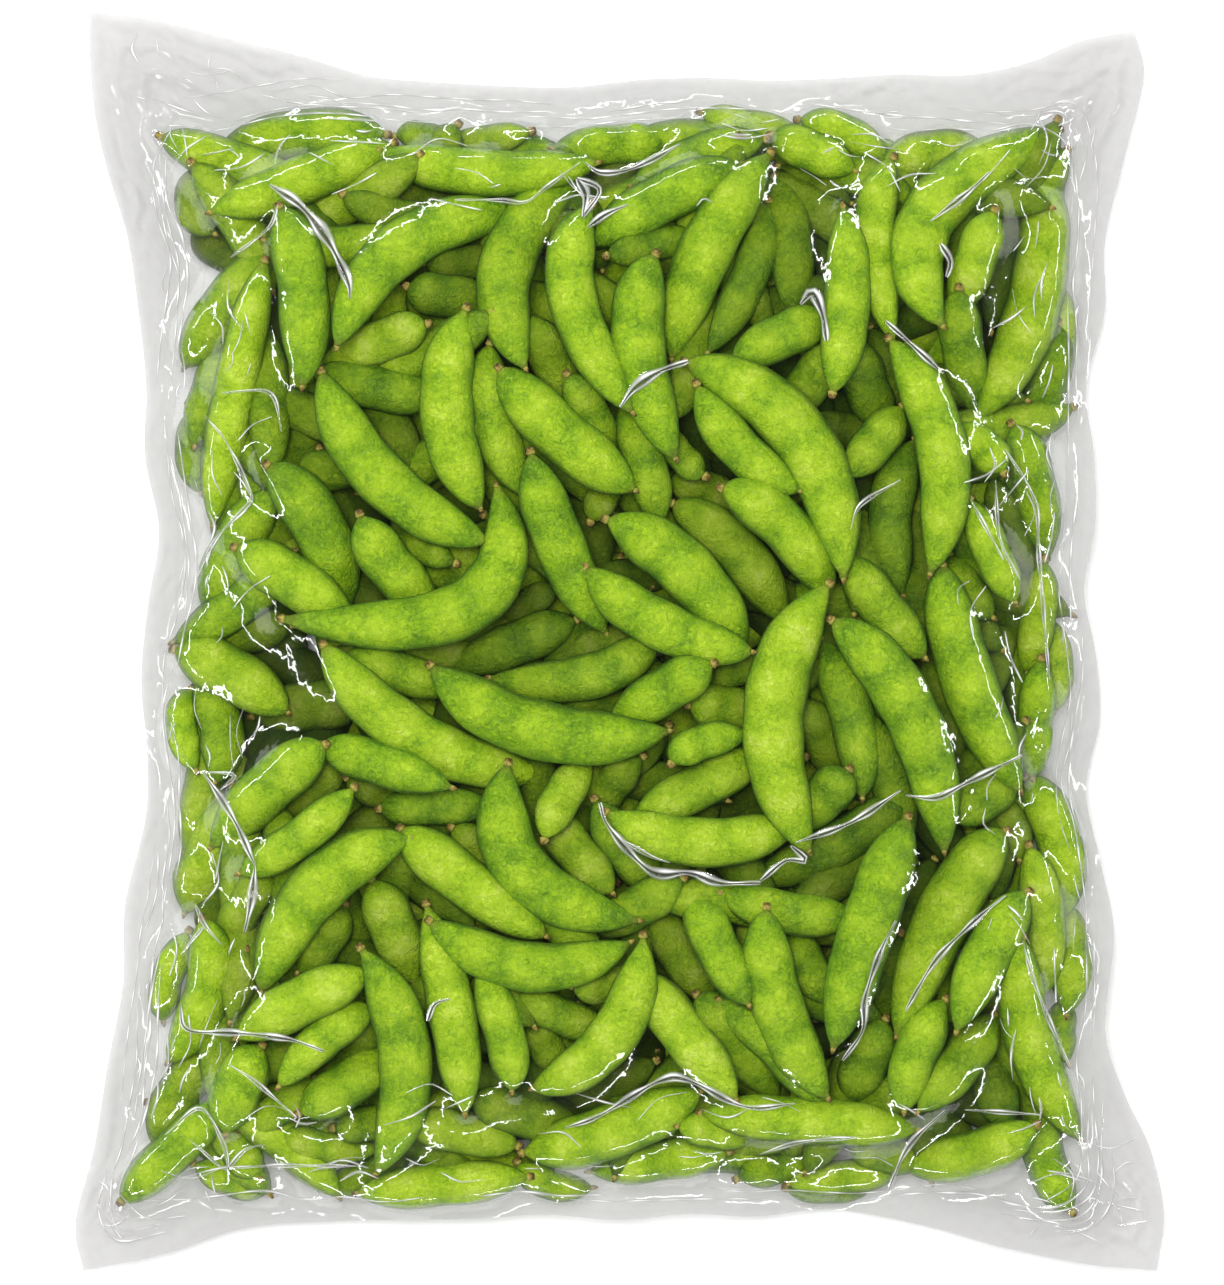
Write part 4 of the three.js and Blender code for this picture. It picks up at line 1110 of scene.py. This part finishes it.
slant = ramp(sample(front_slope, x, y), *STEEP) * ramp(rho, *OUTER)
milk_and_highlight = [np.clip(CLEAR_HAZE + SLANT_HAZE * slant + WEB_HAZE * milk, 0, WEB_HAZE).ravel()]
shade = [np.zeros(x.size)]
start = x.size
# Creases and streaks, with the least and the most of their width and height in millimetres.
creases = []
for paths, widest, tallest in (
    (web_lines(), (0.5, 1.3), (0.2, 0.6)),
    (streaks(EDGE_STREAKS, 7, 19, 0.12), (0.4, 1.2), (0.2, 0.5)),
    (streaks(SKIN_STREAKS, 18, 34, 0.5), (0.4, 1.0), (0.2, 0.5)),
):
    creases += [(path, chance.uniform(*widest), chance.uniform(*tallest)) for path in paths]
creases = [crease for crease in creases if reach(*crease[0].T, film_outline).max() < CREASE_REACH]
folds = [(place(path), width, tall) for width, tall, path in FOLDS] + creases
for number, (path, width, tall) in enumerate(folds):
    strip = fold(path, width, tall, front_field)
    rows, columns = strip.shape[:2]
    points.append(strip.reshape(-1, 3))
    faces += sheet_faces(rows, columns, start, False)
    traced = number < len(FOLDS)
    mean, swing, quick = HIGHLIGHT_PATCHES
    patchy_highlight = mean + swing * np.sin(np.arange(rows)[:, None] * quick + path[0, 0] + FOLD_ACROSS)
    # The white of folds and creases is partly painted highlight.
    milk_and_highlight.append((patchy_highlight * (FOLD_MILK_AND_HIGHLIGHT if traced else LINE_MILK_AND_HIGHLIGHT)).ravel())
    shade.append(np.tile(FOLD_SHADE * (traced and width > DARK_FOLD), rows))
    start += rows * columns
front_points, front_faces = np.vstack(points), faces
front_milk_and_highlight, front_shade = np.concatenate(milk_and_highlight), np.concatenate(shade)

x, y, deep, along = film_grid(BACK_STEP)
height = sample(back_field, x, y) + wrinkle(deep, along, x, y) * np.clip(sample(back_field, x, y), 0, 1)
back_points = np.dstack([x, y, np.maximum(height, 0)]).reshape(-1, 3)
back_faces = sheet_faces(*x.shape, 0, True)
back_haze = (CLEAR_HAZE + BACK_MILK * ramp(reach(x, y), *WELDED)).ravel()

# Clear pouch film: cast, glossy and all but invisible over the pods, milky where its two webs are
# welded, along its folds white with painted highlight and dark with painted shade. Its shine at a
# slant is held down, because a full one would turn every slope between two pods grey.
MOST_SHINE = 0.09
pouch_film, tree = new_material("clear_pouch_film")
where = add_node(tree, "ShaderNodeTexCoord").outputs["Object"]
milk_and_highlight_share = add_node(tree, "ShaderNodeAttribute", {"attribute_name": "milk_and_highlight"}).outputs["Fac"]
# Clouds of about 7 mm in the milk, and crinkles of about 3 mm in the shine.
cloud = add_node(tree, "ShaderNodeTexNoise", Vector=where, Scale=1 / 0.007, Detail=1.0).outputs["Fac"]
cloud = add_node(tree, "ShaderNodeMapRange", _0=cloud, _1=0.3, _2=0.7, _3=0.9, _4=1.1)
cover = add_node(tree, "ShaderNodeMath", {"operation": "MULTIPLY"}, _0=milk_and_highlight_share, _1=cloud.outputs["Result"])
crinkle = add_node(tree, "ShaderNodeTexNoise", Vector=where, Scale=1 / 0.003, Detail=1.0).outputs["Fac"]
bump = add_node(tree, "ShaderNodeBump", Height=crinkle, Strength=0.25, Distance=0.0006).outputs["Normal"]
# Painted shade: the shade attribute tints what shows through the film dark along the cores of the wider
# traced folds.
shaded = add_node(tree, "ShaderNodeAttribute", {"attribute_name": "shade"}).outputs["Fac"]
tint = add_node(
    tree, "ShaderNodeMix", {"data_type": "RGBA"}, _0=shaded, _6=(1, 1, 1, 1), _7=linear("#2A2D30")
)
clear = add_node(tree, "ShaderNodeBsdfTransparent", Color=tint.outputs[2])
# Where the share is highest, on the crests of folds and creases, the milk turns pure white: a painted
# highlight.
painted_highlight = add_node(tree, "ShaderNodeMapRange", _0=milk_and_highlight_share, _1=0.65, _2=0.85).outputs["Result"]
milk_and_highlight_white = add_node(
    tree, "ShaderNodeMix", {"data_type": "RGBA"}, _0=painted_highlight, _6=linear("#CBCAC9"), _7=linear("#FFFFFF")
).outputs[2]
white = add_node(tree, "ShaderNodeBsdfDiffuse", Color=milk_and_highlight_white, Normal=bump)
through = add_node(tree, "ShaderNodeBsdfTranslucent", Color=milk_and_highlight_white)
body = add_node(tree, "ShaderNodeMixShader", _0=0.15, _1=white.outputs["BSDF"], _2=through.outputs["BSDF"])
sheet = add_node(
    tree,
    "ShaderNodeMixShader",
    _0=cover.outputs["Value"],
    _1=clear.outputs["BSDF"],
    _2=body.outputs["Shader"],
)
gloss = add_node(tree, "ShaderNodeBsdfAnisotropic", Color=(1, 1, 1, 1), Roughness=0.07, Normal=bump)
shine = add_node(tree, "ShaderNodeFresnel", IOR=1.6, Normal=bump)
smaller = {"operation": "MINIMUM"}
thin_shine = add_node(tree, "ShaderNodeMath", smaller, _0=shine.outputs["Fac"], _1=MOST_SHINE)
film_shader = add_node(
    tree,
    "ShaderNodeMixShader",
    _0=thin_shine.outputs["Value"],
    _1=sheet.outputs["Shader"],
    _2=gloss.outputs["BSDF"],
)
add_node(tree, "ShaderNodeOutputMaterial", Surface=film_shader.outputs["Shader"])

for name, points, faces, milk_and_highlight, shade in (
    ("front_film", front_points, front_faces, front_milk_and_highlight, front_shade),
    ("back_film", back_points, back_faces, back_haze, np.zeros(len(back_points))),
):
    numbers = [0] * len(faces)
    columns = {"milk_and_highlight": milk_and_highlight, "shade": shade}
    made = add_mesh(f"{name}_sheet", points, faces, (pouch_film,), numbers, columns)
    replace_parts(made, name)
